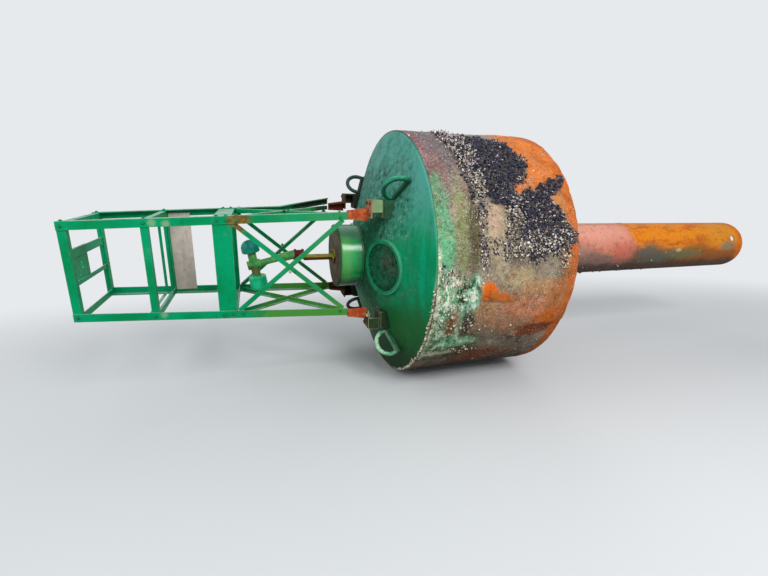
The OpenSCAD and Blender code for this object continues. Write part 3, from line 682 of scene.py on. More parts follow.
crust.layer((216, 206, 190), speck, 0.6)
crust.worn((48, 34, 28), crust.spots(33.0), 0.22, 0.10, 0.7)
crust.bumps((42.0, 10.0, 0.72), 0.006, 0.8)
crust.bumps(speck, 0.004, 0.7)
crust.done(crust.add(crust.times(bed_amount, -0.35), 0.88))
hull_crust = make_piece("hull_crust", skin, [grid_faces(*skin.shape[:2], wrap_rows=True)], crust,
                        tone=tone.reshape(-1, 4), bed=beds.ravel(), weed=algae.ravel(),
                        gritty=0.5 - 0.35 * np.maximum(orange, rim_share).ravel())
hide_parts("hull")

# %% [markdown]
# ## Mussels
# A mussel is a closed drop: pointed at the hinge, broad at the lip, and about a third as
# thick as it is wide. They sit in beds, hinge down and lip up, crowded at odd angles. A
# particle system would place them too, but an array of places, turns and sizes is exact,
# quick and the same in each run. One shape of a few dozen faces is enough, because a
# thousand of them are read as one texture.


# %% The mussel's shape and its places
def drop_shape(rings, sides, widest, thick):
    """A closed drop of unit length along X. Its half width follows sin(pi * a ** widest), which
    moves the broadest place towards the lip, and its thickness is a share of its width."""
    a = np.linspace(0, 1, rings + 2)[1:-1, None]
    b = around(sides)[None, :]
    half = 0.27 * np.sin(np.pi * a ** widest) ** 0.8
    across = half * np.cos(b) + 0.06 * np.sin(np.pi * a)
    return closed_rings(np.stack([a - 0.5 + 0 * b, across, half * thick * np.sin(b)], -1),
                        [-0.5, 0, 0], [0.5, 0, 0])


OFF_FLOOR = 0.02
# Squares of the angles from the top between which the single mussels and the acorns thin out
NO_MUSSELS_BELOW, FEWER_ACORNS_BELOW = (7400, 6900), (9200, 7000)


def on_hull(count, seed, turns, chance, lift=0.0):
    """Random places on the crust: candidates are spread evenly, kept where a random number is
    below the chance at that place, and set on the crust's surface, found in its grid."""
    rng = np.random.default_rng(seed)
    t = rng.uniform(0.01, HULL_LEN + 0.005, count)
    turn = rng.uniform(*turns, count)
    kept = rng.random(count) < chance(t, both_sides(turn), round_axis(t, turn, HULL_R))
    t, turn = t[kept], turn[kept]
    row = np.clip(np.searchsorted(out_t, t), 0, len(out_t) - 1)
    column = np.searchsorted(column_turn, (turn - START_TURN) % 360 + START_TURN) % len(column_turn)
    place = round_axis(t, turn, HULL_R + height[row, column] + lift)
    clear = place[:, 2] > OFF_FLOOR
    return place[clear], outward_at(t, turn)[clear], rng


def worn_down(outward):
    """Less than 1 for shells on the hull's highest and widest lines, where they are rubbed short,
    so that the buoy keeps its size."""
    return 1 - 0.45 * step(np.abs(outward[:, 1:]).max(axis=1), 0.94, 0.99)


mussel_shape = drop_shape(4, 7, 0.75, 0.62)
mussel = Finish("mussel_shell", roughness=0.36)
lot, _ = mussel.own("lot")
mussel.colour = mussel.mix((22, 24, 36), (52, 56, 78), lot)
mussel.worn((74, 62, 58), lot, 0.76, 0.84)
mussel.worn((178, 172, 178), (90.0, 3.0), 0.62, 0.70, 0.75)
mussel.bumps((240.0, 3.0, 0.5, (1.0, 1.0, 3.0)), 0.002, 0.5)
mussel.done()


def mussels(name, count, seed, turns):
    """One field of mussels, 26 to 50 mm long and shorter where they are worn: their lips are
    tipped up off the crust by 15 to 80 degrees."""
    def chance(t, degrees, place):
        thinned = 0.45 * shell_share(t, degrees, place) * step(degrees ** 2, *NO_MUSSELS_BELOW)
        return bed_share(t, degrees, place) + thinned
    place, outward, rng = on_hull(count, seed, turns, chance, 0.004)
    flat = facing(outward, rng.uniform(0, 2 * np.pi, len(place)))
    tip = np.radians(rng.uniform(15, 80, len(place)) * worn_down(outward))[:, None]
    first = flat[..., 0] * np.cos(tip) + flat[..., 2] * np.sin(tip)
    frames = np.stack([first, flat[..., 1], np.cross(first, flat[..., 1])], axis=2)
    length = (rng.uniform(0.026, 0.050, len(place)) * worn_down(outward) ** 0.5)[:, None]
    return strew(name, mussel_shape, place, frames, length, mussel, "hull_fouled")


mussels("mussels_near", 9000, 11, (2, 90))
mussels("mussels_far", 6000, 12, (-90, 2))

# %% [markdown]
# ## Barnacles
# An acorn barnacle is a small volcano: steep ribbed walls and a crater with the animal's
# door in it. Goose barnacles hang beside the mussels on dark stalks and carry pale
# plates. From a step away both are light specks among dark shells.


# %% Acorn barnacles
def volcano_shape(sides):
    """A ribbed cone with a crater: rings whose radii and heights are a short profile. It also
    gives how high on the wall each point is, for the colour."""
    profile = np.array([[1.0, -0.15], [0.72, 0.5], [0.50, 0.85], [0.34, 0.80], [0.22, 0.35]])
    high = np.append(np.repeat([0.0, 0.4, 1.0, 0.7, 0.0], sides), [0.0, 0.0])
    b = around(sides)
    radius = profile[:, :1] * (1 + 0.10 * np.cos(b * sides / 2))
    rings = np.stack([radius * np.cos(b), radius * np.sin(b), profile[:, 1:] + 0 * b], -1)
    return closed_rings(rings, [0, 0, -0.15], [0, 0, 0.30]), high


acorn_shape, acorn_high = volcano_shape(8)
acorn = Finish("barnacle_shell", roughness=0.8)
(lot, _), (tall, _) = acorn.own("lot"), acorn.own("high")
acorn.colour = acorn.clouds((168, 154, 126), (244, 242, 222), lot, 0.1, 0.7)
acorn.worn((196, 170, 158), lot, 0.80, 0.86)
acorn.colour = acorn.mix((84, 70, 62), acorn.colour, acorn.rise(tall, -0.1, 0.6))
acorn.bumps((300.0, 3.0), 0.001, 0.6)
acorn.done()


def acorn_piece(name, place, outward, rng, slot):
    """Acorn barnacles 6 to 32 mm across at the given places, mostly small ones, each tilted and
    stretched a little."""
    tilted = outward + rng.normal(0, 0.22, outward.shape)
    width = 0.0035 + 0.010 * rng.random(len(place)) ** 2.2
    sizes = width[:, None] * rng.uniform((0.8, 0.8, 0.9), (1.2, 1.2, 1.7), (len(place), 3))
    frames = facing(tilted, rng.uniform(0, 6.28, len(place)))
    return strew(name, acorn_shape, place, frames, sizes, acorn, slot, high=acorn_high)


def acorns(name, count, seed, turns):
    """Acorn barnacles on the drum, thick in the shell patches and rare elsewhere."""
    def chance(t, degrees, place):
        low_bed = bed_share(t, degrees, place) * step(np.abs(degrees), 50, 64)
        crowd = 0.9 * shell_share(t, degrees, place) ** 1.5
        return crowd * step(degrees ** 2, *FEWER_ACORNS_BELOW) + 0.4 * crowd + 0.12 * low_bed + 0.005
    place, outward, rng = on_hull(count, seed, turns, chance)
    return acorn_piece(name, place, outward, rng, "hull_fouled")


acorns("barnacles_near", 12000, 21, (0, 140))
acorns("barnacles_far", 6000, 22, (-140, 0))

# %% Goose barnacles
STALK_SIDES, STALK_HEIGHTS = 5, (-0.1, 0.25, 0.55)


def goose_shape():
    """A bent stalk under a flat drop: the stalk's rings climb along Z, and the drop stands on it.
    It also gives 1 for points on the plates and 0 on the stalk."""
    plates, faces = drop_shape(3, 6, 0.8, 0.5)
    plates = np.stack([plates[:, 1], plates[:, 2], plates[:, 0] + 1.0], 1)
    b = around(STALK_SIDES)
    high = np.array(STALK_HEIGHTS)[:, None]
    stalk = np.stack([0.10 * np.cos(b) + 0.12 * np.sin(3 * high), 0.10 * np.sin(b) + 0 * high,
                      high + 0 * b], -1).reshape(-1, 3)
    foot_end = np.arange(STALK_SIDES)[::-1]
    top_end = len(stalk) - STALK_SIDES + np.arange(STALK_SIDES)
    stalk_faces = [grid_faces(len(STALK_HEIGHTS), STALK_SIDES)[:, ::-1], np.stack([foot_end, top_end])]
    points = np.concatenate([plates, stalk])
    on_plates = np.append(np.ones(len(plates)), np.zeros(len(stalk)))
    return (points, faces + [group + len(plates) for group in stalk_faces]), on_plates


goose_body, goose_plate = goose_shape()
goose = Finish("goose_barnacle", roughness=0.55)
(lot, _), (plate_share, _) = goose.own("lot"), goose.own("plate")
goose.colour = goose.mix((196, 178, 178), (232, 226, 222), lot)
goose.worn((52, 46, 58), (110.0, 2.0), 0.48, 0.56)
goose.colour = goose.mix((66, 46, 42), goose.colour, plate_share)
goose.done()


def geese(name, count, seed, turns):
    """Goose barnacles 32 to 54 mm long that hang down from the shell band and the beds' edges."""
    def chance(t, degrees, place):
        band = shell_share(t, degrees, place) * step(np.abs(degrees), 92, 86)
        low_bed = bed_share(t, degrees, place) * step(np.abs(degrees), 52, 62)
        return 0.75 * band ** 1.3 + 0.20 * low_bed + 0.02 * bed_share(t, degrees, place)
    place, outward, rng = on_hull(count, seed, turns, chance)
    droop = outward + np.array([0.25, 0, -0.55]) + rng.normal(0, 0.45, outward.shape)
    droop += outward * np.maximum(0.25 - np.sum(droop * outward, axis=1, keepdims=True), 0)
    length = (rng.uniform(0.020, 0.034, len(place)) * worn_down(outward))[:, None]
    frames = facing(droop, rng.uniform(0, 6.28, len(place)))
    return strew(name, goose_body, place, frames, length, goose, "hull_fouled", plate=goose_plate)


geese("goose_barnacles_near", 8000, 31, (0, 95))
geese("goose_barnacles_far", 5000, 32, (-95, 0))

# %% [markdown]
# ## Finishes that know where they are
# Weed, rust and sun-bleached paint aren't spread evenly over the steel. They follow the
# height above the old waterline, the edge of a plate or the side that lies in the shade.
# The CAD nodes carry no colours of their own points, so their finishes work out the
# place on the buoy inside the shader: the room's axes are turned back into the buoy's
# axes, and patches are laid by distance along the axis and angle round it.


# %% Patterns by place
class SitedFinish(Finish):
    """A finish with patches at places on the buoy, worn edges and rust."""

    def __init__(self, name, roughness=0.6, gloss=0.3):
        super().__init__(name, roughness, gloss)
        own = self.put("ShaderNodeMapping", {"Vector": self.place, "Location": tuple(CENTRE),
                                             "Rotation": (ROLL, 0.0, 0.0)}, vector_type="TEXTURE")
        self.t = self.put("ShaderNodeSeparateXYZ", {0: own})
        self.y, self.z = self.t.node.outputs[1], self.t.node.outputs[2]

    def side(self):
        """Distance to the left or right of the buoy's middle plane."""
        return self.maths("ABSOLUTE", self.y)

    def length(self, a, b):
        """The root of the sum of two squares."""
        return self.maths("POWER", self.add(self.times(a, a), self.times(b, b)), 0.5)

    def angle(self):
        """Angle from the top in degrees, the same on both sides: the arctangent of |y| over z."""
        return self.times(self.maths("ARCTAN2", self.side(), self.z), math.degrees(1.0))

    def ragged(self, broad, fine):
        """What bends a patch's outline: broad lobes with small ones on top, about -0.5 to 0.5."""
        lobes = self.times(self.add(self.noise(broad, 3.0), -0.5), 1.6)
        return self.add(lobes, self.add(self.noise(fine, 5.0, 0.7), -0.5))

    def bend(self, measure, ragged, most):
        """A measure with ragged noise added, so that the lines drawn by it are bent."""
        return self.add(measure, self.times(ragged, most))

    def patch(self, a, b, middle, half, edge, soft=0.3):
        """1 inside an ellipse in two measures and 0 outside. Each measure's distance from the
        middle is divided by its half size, and the edge noise is added to their length."""
        u, v = (self.times(self.add(measure, -m), 1.0 / h) for measure, m, h in zip((a, b), middle, half))
        return self.rise(self.add(self.length(u, v), edge), 1 + soft, 1 - soft)

    def away(self, t, y, z):
        """Distance to a point that is given in the buoy's axes."""
        return self.vector("DISTANCE", self.place, tuple(to_part(t, y, z)), "Value")

    def near(self, point, reach, ragged, most=1.0, soft=0.3):
        """1 close to a point and 0 beyond a reach, with a ragged edge."""
        share = self.bend(self.times(self.away(*point), 1.0 / reach), ragged, most)
        return self.rise(share, 1 + soft, 1 - soft)

    def rounded(self, radius):
        """The normal that the surface would have if its edges were rounded to a radius."""
        return self.put("ShaderNodeBevel", {"Radius": radius}, samples=4)

    def edges(self, soft_normal, low=0.995, high=0.92):
        """1 at a sharp edge and 0 away from it: there the rounded normal leans off the true one."""
        true = self.put("ShaderNodeNewGeometry", out="True Normal")
        return self.rise(self.vector("DOT_PRODUCT", soft_normal, true, "Value"), low, high)

    def facing_along(self, axis, low, high):
        """Rises from 0 to 1 with one part of the surface's normal: X, Y or Z is axis 0, 1 or 2."""
        normal = self.put("ShaderNodeNewGeometry", out="Normal")
        return self.rise(self.put("ShaderNodeSeparateXYZ", {0: normal}, axis), low, high)

    def facing_up(self, low, high):
        """1 where the surface looks up, 0 where it looks down."""
        return self.facing_along(2, low, high)

    def rust(self, scale, bright, mid, dark):
        """Rust in three tones: bright and mid clouds with dark pits, so many lumps a metre."""
        cloudy = self.clouds(mid, bright, (scale, 8.0, 0.7))
        return self.mix(cloudy, dark, self.rise((scale * 2.3, 8.0, 0.7), 0.54, 0.68), 0.85)


print("sited finishes ready")

# %% [markdown]
# ## The tower's green paint
# The tower stood above the waterline and kept its paint: a bright mid green, glossy once,
# now cloudy and a little yellow towards the hull, where salt reached it. The faces that
# looked up while the buoy stood upright have gone darker and bluer. Rust starts
# at the edges of the angle irons and at the joints. A bevel node rounds the sharp CAD
# edges for the light by three millimetres, and the same node tells where an edge is, so
# the wear sits on it.

# %% Tower, frames and crossbars
tower = SitedFinish("tower_green", roughness=0.42, gloss=0.06)
tower.normal = tower.rounded(0.003)
sharp_edges, ragged = tower.edges(tower.normal), tower.ragged(5.0, 30.0)
along = tower.bend(tower.t, ragged, 0.5)
tower.colour = tower.clouds((0, 138, 84), (4, 156, 104), (2.6, 6.0), 0.40, 0.62)
tower.worn((64, 142, 84), along, -1.40, -0.60, 0.65)
tower.worn((82, 146, 48), along, -1.55, -1.05, tower.rise(tower.z, -0.25, -0.40), 0.75)
tower.worn((96, 160, 122), (9.0, 8.0, 0.7), 0.58, 0.76, 0.4)
tower.layer((0, 96, 80), tower.facing_along(0, -0.6, -0.9), 0.75)
tower.worn((16, 74, 52), (21.0, 8.0, 0.7, (1.0, 1.0, 0.4)), 0.58, 0.74, 0.6)
# The faces that look up are paler: chalk with a painted sky sheen.
tower.worn((168, 190, 184), (6.0, 6.0), 0.30, 0.55, tower.facing_up(0.55, 0.95), 0.65)
tower.worn((168, 182, 150), (34.0, 6.0, 0.75), 0.47, 0.60, sharp_edges, 0.8)
BARE_Y, BARE_CORNERS = -0.42, ((-2.066, 0.382), (-1.965, 0.374), (-2.054, -0.047), (-2.062, -0.369))
for bare_t, bare_z in BARE_CORNERS:
    tower.layer((150, 176, 134), tower.near((bare_t, BARE_Y, bare_z), 0.024, ragged, 0.8, 0.6), 0.6)
rusty_corner = tower.near((-1.425, -0.45, 0.395), 0.075, ragged, 1.4, 0.5)
rusty = tower.times(tower.maths("MAXIMUM", rusty_corner, tower.rise((13.0, 8.0, 0.75), 0.66, 0.74)), 0.9)
tower.layer(tower.rust(30.0, (146, 96, 44), (104, 74, 34), (44, 40, 24)), rusty)
# Painted shade: the far upper corner beside the hull is darkened.
tower.layer((38, 52, 38), tower.near((-0.60, 0.52, 0.52), 0.34, ragged), 0.9)
tower.bumps(tower.add(tower.noise(60.0, 8.0, 0.7), rusty), 0.002, 0.5)
LEGS = ["leg_near_top", "leg_near_bottom", "leg_far_top", "leg_far_bottom"]
FRAMES = ["end_frame", "middle_frame", "wide_frame", "upper_crossbar", "lower_crossbar", "lantern_plate",
          "stay_bars"]
BRACES = ["brace_near", "brace_far", "brace_top", "brace_bottom"]
coat(tower, *LEGS, *FRAMES, *BRACES, roughness=tower.add(tower.times(tower.noise(12.0, 5.0), 0.30), 0.26))

# %% [markdown]
# ## Rusted stubs and weathered feet
# The legs end on short stubs that lost their paint: these are bright orange-red on the near side, and on the
# far side they are painted nearly black as shade. The feet below kept a pale, chalky coat of primer with
# brown stains on the end plates. The wedges behind are painted the dark green of the top plate in painted
# shade. Lower down the plates are painted dark as shade, and their edges carry a cream painted highlight. On
# the far side the feet are painted nearly black as shade.

# %% Stubs
stub = SitedFinish("stub_rust", roughness=0.85, gloss=0.15)
stub.normal = stub.rounded(0.003)
stub.colour = stub.rust(20.0, (196, 100, 60), (162, 68, 40), (84, 42, 26))
stub.worn((206, 146, 92), (34.0, 6.0, 0.7), 0.58, 0.68, 0.6)
# Painted shade: the far stubs are darkened nearly black.
stub.worn((74, 34, 28), stub.y, 0.0, 0.2, 0.8)
stub.bumps((70.0, 10.0, 0.75), 0.006, 0.9)
coat(stub, *corners("stub"))

# %% Feet
foot = SitedFinish("foot_green", roughness=0.7, gloss=0.2)
foot.normal = foot.rounded(0.004)
sharp_edges = foot.edges(foot.rounded(0.008), 0.998, 0.96)
front = foot.bend(foot.t, foot.ragged(9.0, 40.0), 0.010)
foot.colour = foot.clouds((112, 148, 100), (138, 160, 116), (11.0, 7.0, 0.7))
foot.layer((136, 128, 108), foot.facing_up(0.3, 0.8), 0.8)
foot.worn(foot.rust(26.0, (180, 120, 92), (146, 96, 76), (88, 58, 46)), front, -0.338, -0.346, 0.92)
# Painted shade: the wedges behind the feet are painted dark green.
foot.worn(foot.clouds((8, 62, 40), (28, 86, 60), (9.0, 8.0, 0.7)), front, -0.262, -0.245, 0.92)
# Painted shade: the lower feet are painted dark.
foot.worn(foot.clouds((14, 46, 24), (42, 54, 30), (13.0, 8.0, 0.7)), foot.z, 0.10, -0.25, 0.94)
# Painted shade: the far feet are darkened nearly black.
foot.worn((34, 36, 30), foot.y, 0.0, 0.2, 0.9)
foot.worn((120, 66, 38), (19.0, 8.0, 0.75), 0.60, 0.70, 0.8)
low_near = foot.times(foot.rise(foot.z, 0.2, -0.2), foot.rise(foot.y, 0.2, 0.0))
on_end_plates = foot.maths("MAXIMUM", foot.rise(foot.t, -0.30, -0.34), 0.3)
off_packing = foot.rise(foot.t, -0.18, -0.24)
# Painted highlight: cream on the edges of the lower near feet.
foot.worn((226, 220, 184), (13.0, 5.0), 0.34, 0.46, low_near, on_end_plates, off_packing, sharp_edges)
foot.bumps((55.0, 9.0, 0.7), 0.003, 0.7)
coat(foot, *corners("foot"))

# %% [markdown]
# ## The conical top plate
# Seen from the tower, the plate is the buoy's largest painted face. Where it was washed clean near the rim it
# is a saturated teal green. Towards the middle and the upper part it is grey and mottled with dark lichen,
# and its upper part is painted a lighter grey teal as a sky reflection. The lower part, which now lies in the
# shade, is olive to nearly black: slime with painted shade. The rim carries a pale line, scuffed paint with a
# painted highlight on its upper part, and crusty growth low down.

# %% Top plate
head = SitedFinish("head_green", roughness=0.5, gloss=0.10)
ragged, turn, side = head.ragged(3.5, 22.0), head.angle(), head.side()
level = head.bend(head.z, ragged, 0.3)
wash, lichen = head.noise(1.0, 7.0, 0.65, (4.0, 13.0, 1.8)), head.noise(19.0, 9.0, 0.75)
head.colour = head.clouds((0, 136, 88), (6, 154, 110), wash, 0.40, 0.62)
# Painted sky reflection: the upper part is lighter and greyer teal.
head.worn((84, 156, 146), level, 0.24, 0.76, 0.85)
# The lower part darkens to nearly black: slime with painted shade.
head.worn((36, 98, 46), level, -0.10, -0.46, 0.92)
head.worn((18, 52, 22), level, -0.44, -0.90, 0.92)
mottled = head.patch(side, head.z, (0.22, 0.36), (0.58, 0.66), ragged, 0.45)
head.layer((66, 118, 102), mottled, 0.75)
head.worn((22, 60, 44), lichen, 0.50, 0.60, mottled, 0.85)
head.worn((146, 176, 164), lichen, 0.45, 0.37, mottled, 0.75)
head.layer((14, 70, 42), head.patch(side, head.z, (0.32, 0.02), (0.24, 0.42), ragged, 0.4), 0.75)
head.worn((120, 170, 146), (44.0, 7.0, 0.75), 0.62, 0.72, 0.3)
head.worn((16, 50, 34), (30.0, 6.0, 0.75), 0.57, 0.68, 0.5)
edge_of_rim = head.bend(head.length(head.y, head.z), ragged, 0.006)
rim = head.rise(edge_of_rim, 1.202, 1.214)
# A pale line along the upper rim: scuffed paint with a painted highlight.
head.worn((96, 178, 134), turn, 22.0, 50.0, rim, 0.8)
crusty = head.times(head.rise(edge_of_rim, 1.190, 1.206), head.rise((24.0, 6.0, 0.75), 0.47, 0.53))
head.worn((190, 178, 142), turn, 84.0, 100.0, crusty)
head.worn((36, 48, 28), turn, 88.0, 104.0, rim, head.rise((31.0, 6.0, 0.75), 0.50, 0.44))
head.bumps((2.2, 3.0), 0.030, 0.55)
head.bumps(lichen, 0.003, 0.6)
coat(head, "top_head", roughness=head.add(head.times(mottled, 0.25), head.add(head.times(wash, 0.25), 0.32)))

# %% [markdown]
# ## Pocket rings and their covers
# Two round pockets once held batteries. The rings are painted like the plate, with lighter worn edges and a
# painted highlight along the outer edge on the side towards the hull's rim. Rain and slime collect inside, so
# the covers are dark and mottled, with a reddish heart where the primer shows. The near cover kept some paint
# at its rim.

# %% Rings and covers
pocket = SitedFinish("pocket_green", roughness=0.5, gloss=0.2)
pocket.normal = pocket.rounded(0.006)
sharp_edges = pocket.edges(pocket.normal, 0.99, 0.80)
pocket.colour = pocket.clouds((8, 112, 74), (24, 132, 92), (8.0, 7.0, 0.7))
pocket.worn((18, 66, 44), (20.0, 8.0, 0.75), 0.52, 0.66, 0.7)
INNER_EDGE, OUTER_EDGE = (0.236, 0.244), (0.275, 0.262)
for pocket_y in (-POCKET_R, POCKET_R):
    away = pocket.away(cone_t(POCKET_R), pocket_y, 0.0)
    # Painted highlight: a light band on the ring's outer edge, on the side towards the hull's rim.
    lit = pocket.times(pocket.rise(away, *INNER_EDGE), pocket.rise(away, *OUTER_EDGE))
    pocket.worn((84, 170, 130), pocket.t, -0.27, -0.19, lit, 0.6)
pocket.layer((90, 160, 124), sharp_edges, 0.4)
pocket.bumps((50.0, 8.0, 0.7), 0.003, 0.6)
coat(pocket, "pocket_near", "pocket_far")

cover = SitedFinish("pocket_dark", roughness=0.75, gloss=0.15)
ragged = cover.ragged(11.0, 40.0)
cover.colour = cover.clouds((24, 72, 50), (46, 104, 78), (16.0, 9.0, 0.75))
NEAR_RIM_GREEN, FAR_DARK, COVER_Y, COVER_MIDDLE_T = (14, 92, 62), (24, 60, 44), 0.66, -0.19
for cover_y in (-COVER_Y, COVER_Y):
    middle = cover.near((COVER_MIDDLE_T, cover_y, 0.0), 0.17, ragged, 0.8, 0.5)
    under, over = (NEAR_RIM_GREEN, cover.colour) if cover_y < 0 else (cover.colour, FAR_DARK)
    cover.colour = cover.mix(under, over, middle)
    cover.layer((74, 72, 58), cover.near((COVER_MIDDLE_T, cover_y, 0.055), 0.09, ragged, 1.5, 0.6), 0.6)
cover.worn((12, 30, 20), (23.0, 9.0, 0.75), 0.50, 0.60, 0.8)
cover.worn((112, 146, 126), (44.0, 5.0, 0.75), 0.60, 0.68, 0.6)
cover.bumps((40.0, 10.0, 0.75), 0.008, 0.9)
coat(cover, "pocket_cover_near", "pocket_cover_far")

# %% [markdown]
# ## Lifting bails
# The upper bails are still green. All bails carry a painted highlight on the faces that look up and painted
# shade on the faces that look down, and on the far side they are painted nearly black as shade. The lower
# ones, in the drum's shade, carry a chalky, whitish-green bloom. Where each straight bar lies close to the
# plate it is painted darker as shade.

# %% Bails
bail = SitedFinish("bail_green", roughness=0.45, gloss=0.25)
bail.colour = bail.clouds((10, 116, 84), (36, 150, 116), (14.0, 7.0, 0.7))
# Painted highlight on the faces that look up.
bail.layer((120, 190, 170), bail.facing_up(0.5, 0.95), 0.6)
bail.worn(bail.clouds((70, 150, 104), (176, 216, 178), (13.0, 6.0, 0.7), 0.40, 0.58),
          bail.bend(bail.z, bail.ragged(12.0, 45.0), 0.2), 0.0, -0.4, 0.92)
cone_level = bail.times(bail.add(bail.length(bail.y, bail.z), -HULL_R), HEAD_RISE / (HULL_R - LAND_R))
# Painted shade where the straight bar lies close to the plate.
bail.worn((16, 78, 52), bail.maths("SUBTRACT", cone_level, bail.t), 0.060, 0.030, 0.8)
# Painted shade on the faces that look down.
bail.layer((30, 62, 44), bail.facing_up(0.1, -0.6), 0.75)
# Painted shade: the far bails are darkened nearly black.
bail.worn((40, 46, 46), bail.y, 0.0, 0.2, 0.85)
bail.worn((120, 70, 42), (22.0, 8.0, 0.75), 0.62, 0.70, 0.9)
bail.bumps((80.0, 8.0, 0.7), 0.003, 0.7)
coat(bail, *corners("bail"))

# %% [markdown]
# ## Collar and cover plate
# The upper end of the sounding tube stands out of the cone as a short, glossy green collar. Its top is greyer
# and its belly is bright. Towards its outer end it is painted lighter and yellower as a painted highlight,
# and towards the cone it is darker. Its underside is painted dark: algae with painted shade. The plate that
# closes it is bare, grey-brown steel with a rusty edge.

# %% Collar and cover plate
collar = SitedFinish("collar_green", roughness=0.28, gloss=0.5)
ragged = collar.ragged(7.0, 30.0)
bent = collar.bend(collar.angle(), ragged, 22.0)
along = collar.bend(collar.t, ragged, 0.03)
collar.colour = collar.clouds((4, 138, 66), (16, 156, 82), (5.0, 6.0))
# Painted highlight: lighter and yellower towards the collar's outer end; the next layer is darker towards the
# cone.
collar.worn((92, 172, 88), along, -0.41, -0.49, 0.7)
collar.worn((2, 108, 56), along, -0.42, -0.36, 0.7)
# Greyer towards the top.
collar.worn((70, 128, 100), bent, 58.0, 30.0, 0.9)
# The underside is darkened: algae with painted shade.
collar.worn((22, 88, 48), bent, 112.0, 140.0, 0.9)
collar.worn((16, 40, 24), bent, 140.0, 165.0, 0.9)
collar.worn((120, 148, 96), (15.0, 8.0, 0.75, (1.0, 1.0, 0.5)), 0.58, 0.70, 0.6)
collar.worn((40, 66, 40), collar.bend(collar.t, ragged, 0.02), -0.350, -0.330, 0.8)
collar.bumps((7.0, 4.0), 0.003, 0.4)
collar.bumps((60.0, 8.0, 0.7), 0.001, 0.5)
coat(collar, "collar", roughness=collar.add(collar.times(collar.noise(18.0, 6.0), 0.24), 0.12))

plate = SitedFinish("cover_grey", roughness=0.8, gloss=0.15)
plate.colour = plate.clouds((78, 72, 62), (112, 102, 88), (9.0, 8.0, 0.7))
plate.worn(plate.rust(20.0, (150, 96, 56), (112, 72, 44), (60, 44, 34)), (6.0, 8.0, 0.75), 0.52, 0.62)
plate_edge = plate.bend(plate.length(plate.y, plate.z), plate.ragged(9.0, 40.0), 0.02)
plate.worn((40, 92, 58), plate_edge, 0.286, 0.304, 0.85)
plate.bumps((50.0, 9.0, 0.7), 0.004, 0.8)
coat(plate, "collar_cover")

# %% [markdown]
# ## Riser, valve and whistle
# As the buoy rose and fell, air from the tube left through this pipework and sounded the
# whistle. The riser is a bare pipe, yellow-green with verdigris above and rusty below.
# The valve kept some dark red paint. The two whistle heads are cast and painted: the
# upper one has weathered to teal and the lower one is still bright.

# %% Pipework
riser = SitedFinish("riser_pipe", roughness=0.6, gloss=0.2)
riser.colour = riser.clouds((96, 54, 28), (156, 156, 62), riser.facing_up(-0.25, 0.35), 0.1, 0.9)
riser.worn((84, 44, 24), (24.0, 8.0, 0.75), 0.52, 0.64, 0.8)
riser.worn((70, 120, 76), (14.0, 6.0, 0.7), 0.56, 0.66, 0.7)
riser.bumps((80.0, 8.0, 0.7), 0.003, 0.7)
coat(riser, "riser")

valve = SitedFinish("valve_red", roughness=0.6, gloss=0.2)
valve.colour = valve.clouds((120, 26, 48), (88, 20, 30), (18.0, 7.0, 0.7), 0.44, 0.58)
valve.worn(valve.rust(36.0, (150, 84, 50), (96, 50, 34), (48, 30, 26)), (22.0, 8.0, 0.75), 0.54, 0.64)
valve.bumps((70.0, 8.0, 0.7), 0.003, 0.7)
coat(valve, "valve")

whistle = SitedFinish("whistle_green", roughness=0.4, gloss=0.3)
whistle.normal = whistle.rounded(0.003)
sharp_edges = whistle.edges(whistle.normal)
whistle.colour = whistle.clouds((58, 146, 72), (112, 176, 92), (15.0, 7.0, 0.7))
tee = whistle.patch(whistle.t, whistle.z, (-1.345, -0.12), (0.10, 0.045), whistle.ragged(14.0, 50.0))
whistle.layer((92, 62, 36), tee, 0.75)
at_heads = whistle.rise(whistle.t, -1.20, -1.24)
for one, other, low, high in (((0, 118, 104), (8, 146, 128), 0.040, 0.052),
                              ((8, 172, 118), (36, 204, 150), -0.168, -0.176)):
    whistle.worn(whistle.clouds(one, other, (9.0, 6.0)), whistle.z, low, high, at_heads)
whistle.worn((20, 78, 54), (30.0, 8.0, 0.75), 0.56, 0.68, 0.7)
whistle.layer((146, 190, 150), sharp_edges, 0.5)
whistle.bumps((60.0, 8.0, 0.7), 0.002, 0.6)
coat(whistle, "whistle_arm", "cross_pipe", "upper_whistle", "lower_whistle")

# %% [markdown]
# ## The bare number board
# The board between the frames has lost its paint and shows a dull grey-pink undercoat
# with faint runs of rust below its bolts. It carries nothing, so it is left plain.

# %% Board
board = SitedFinish("board_bare", roughness=0.75)
board.colour = board.clouds((190, 178, 168), (210, 194, 184), (6.0, 7.0, 0.7))
board.worn((152, 128, 114), (8.0, 8.0, 0.7, (1.0, 2.0, 0.3)), 0.54, 0.70, 0.6)
board.worn((120, 150, 128), (13.0, 8.0, 0.75), 0.60, 0.70, 0.5)
board.bumps((90.0, 6.0, 0.7), 0.001, 0.5)
coat(board, "number_board")

# %% [markdown]
# ## The tail tube
# The long tube shows two coats. Nearer the hull it is salmon pink, an old red oxide bleached by the sun.
# Beyond a ragged line the steel is bare and rusts bright orange, with a yellower end. The lower half is grey
# and grey-green with dried slime and is painted darker as shade, and the belly is nearly black, dirt with
# painted shade. Patches are laid by the distance along the tube and the angle from the top.

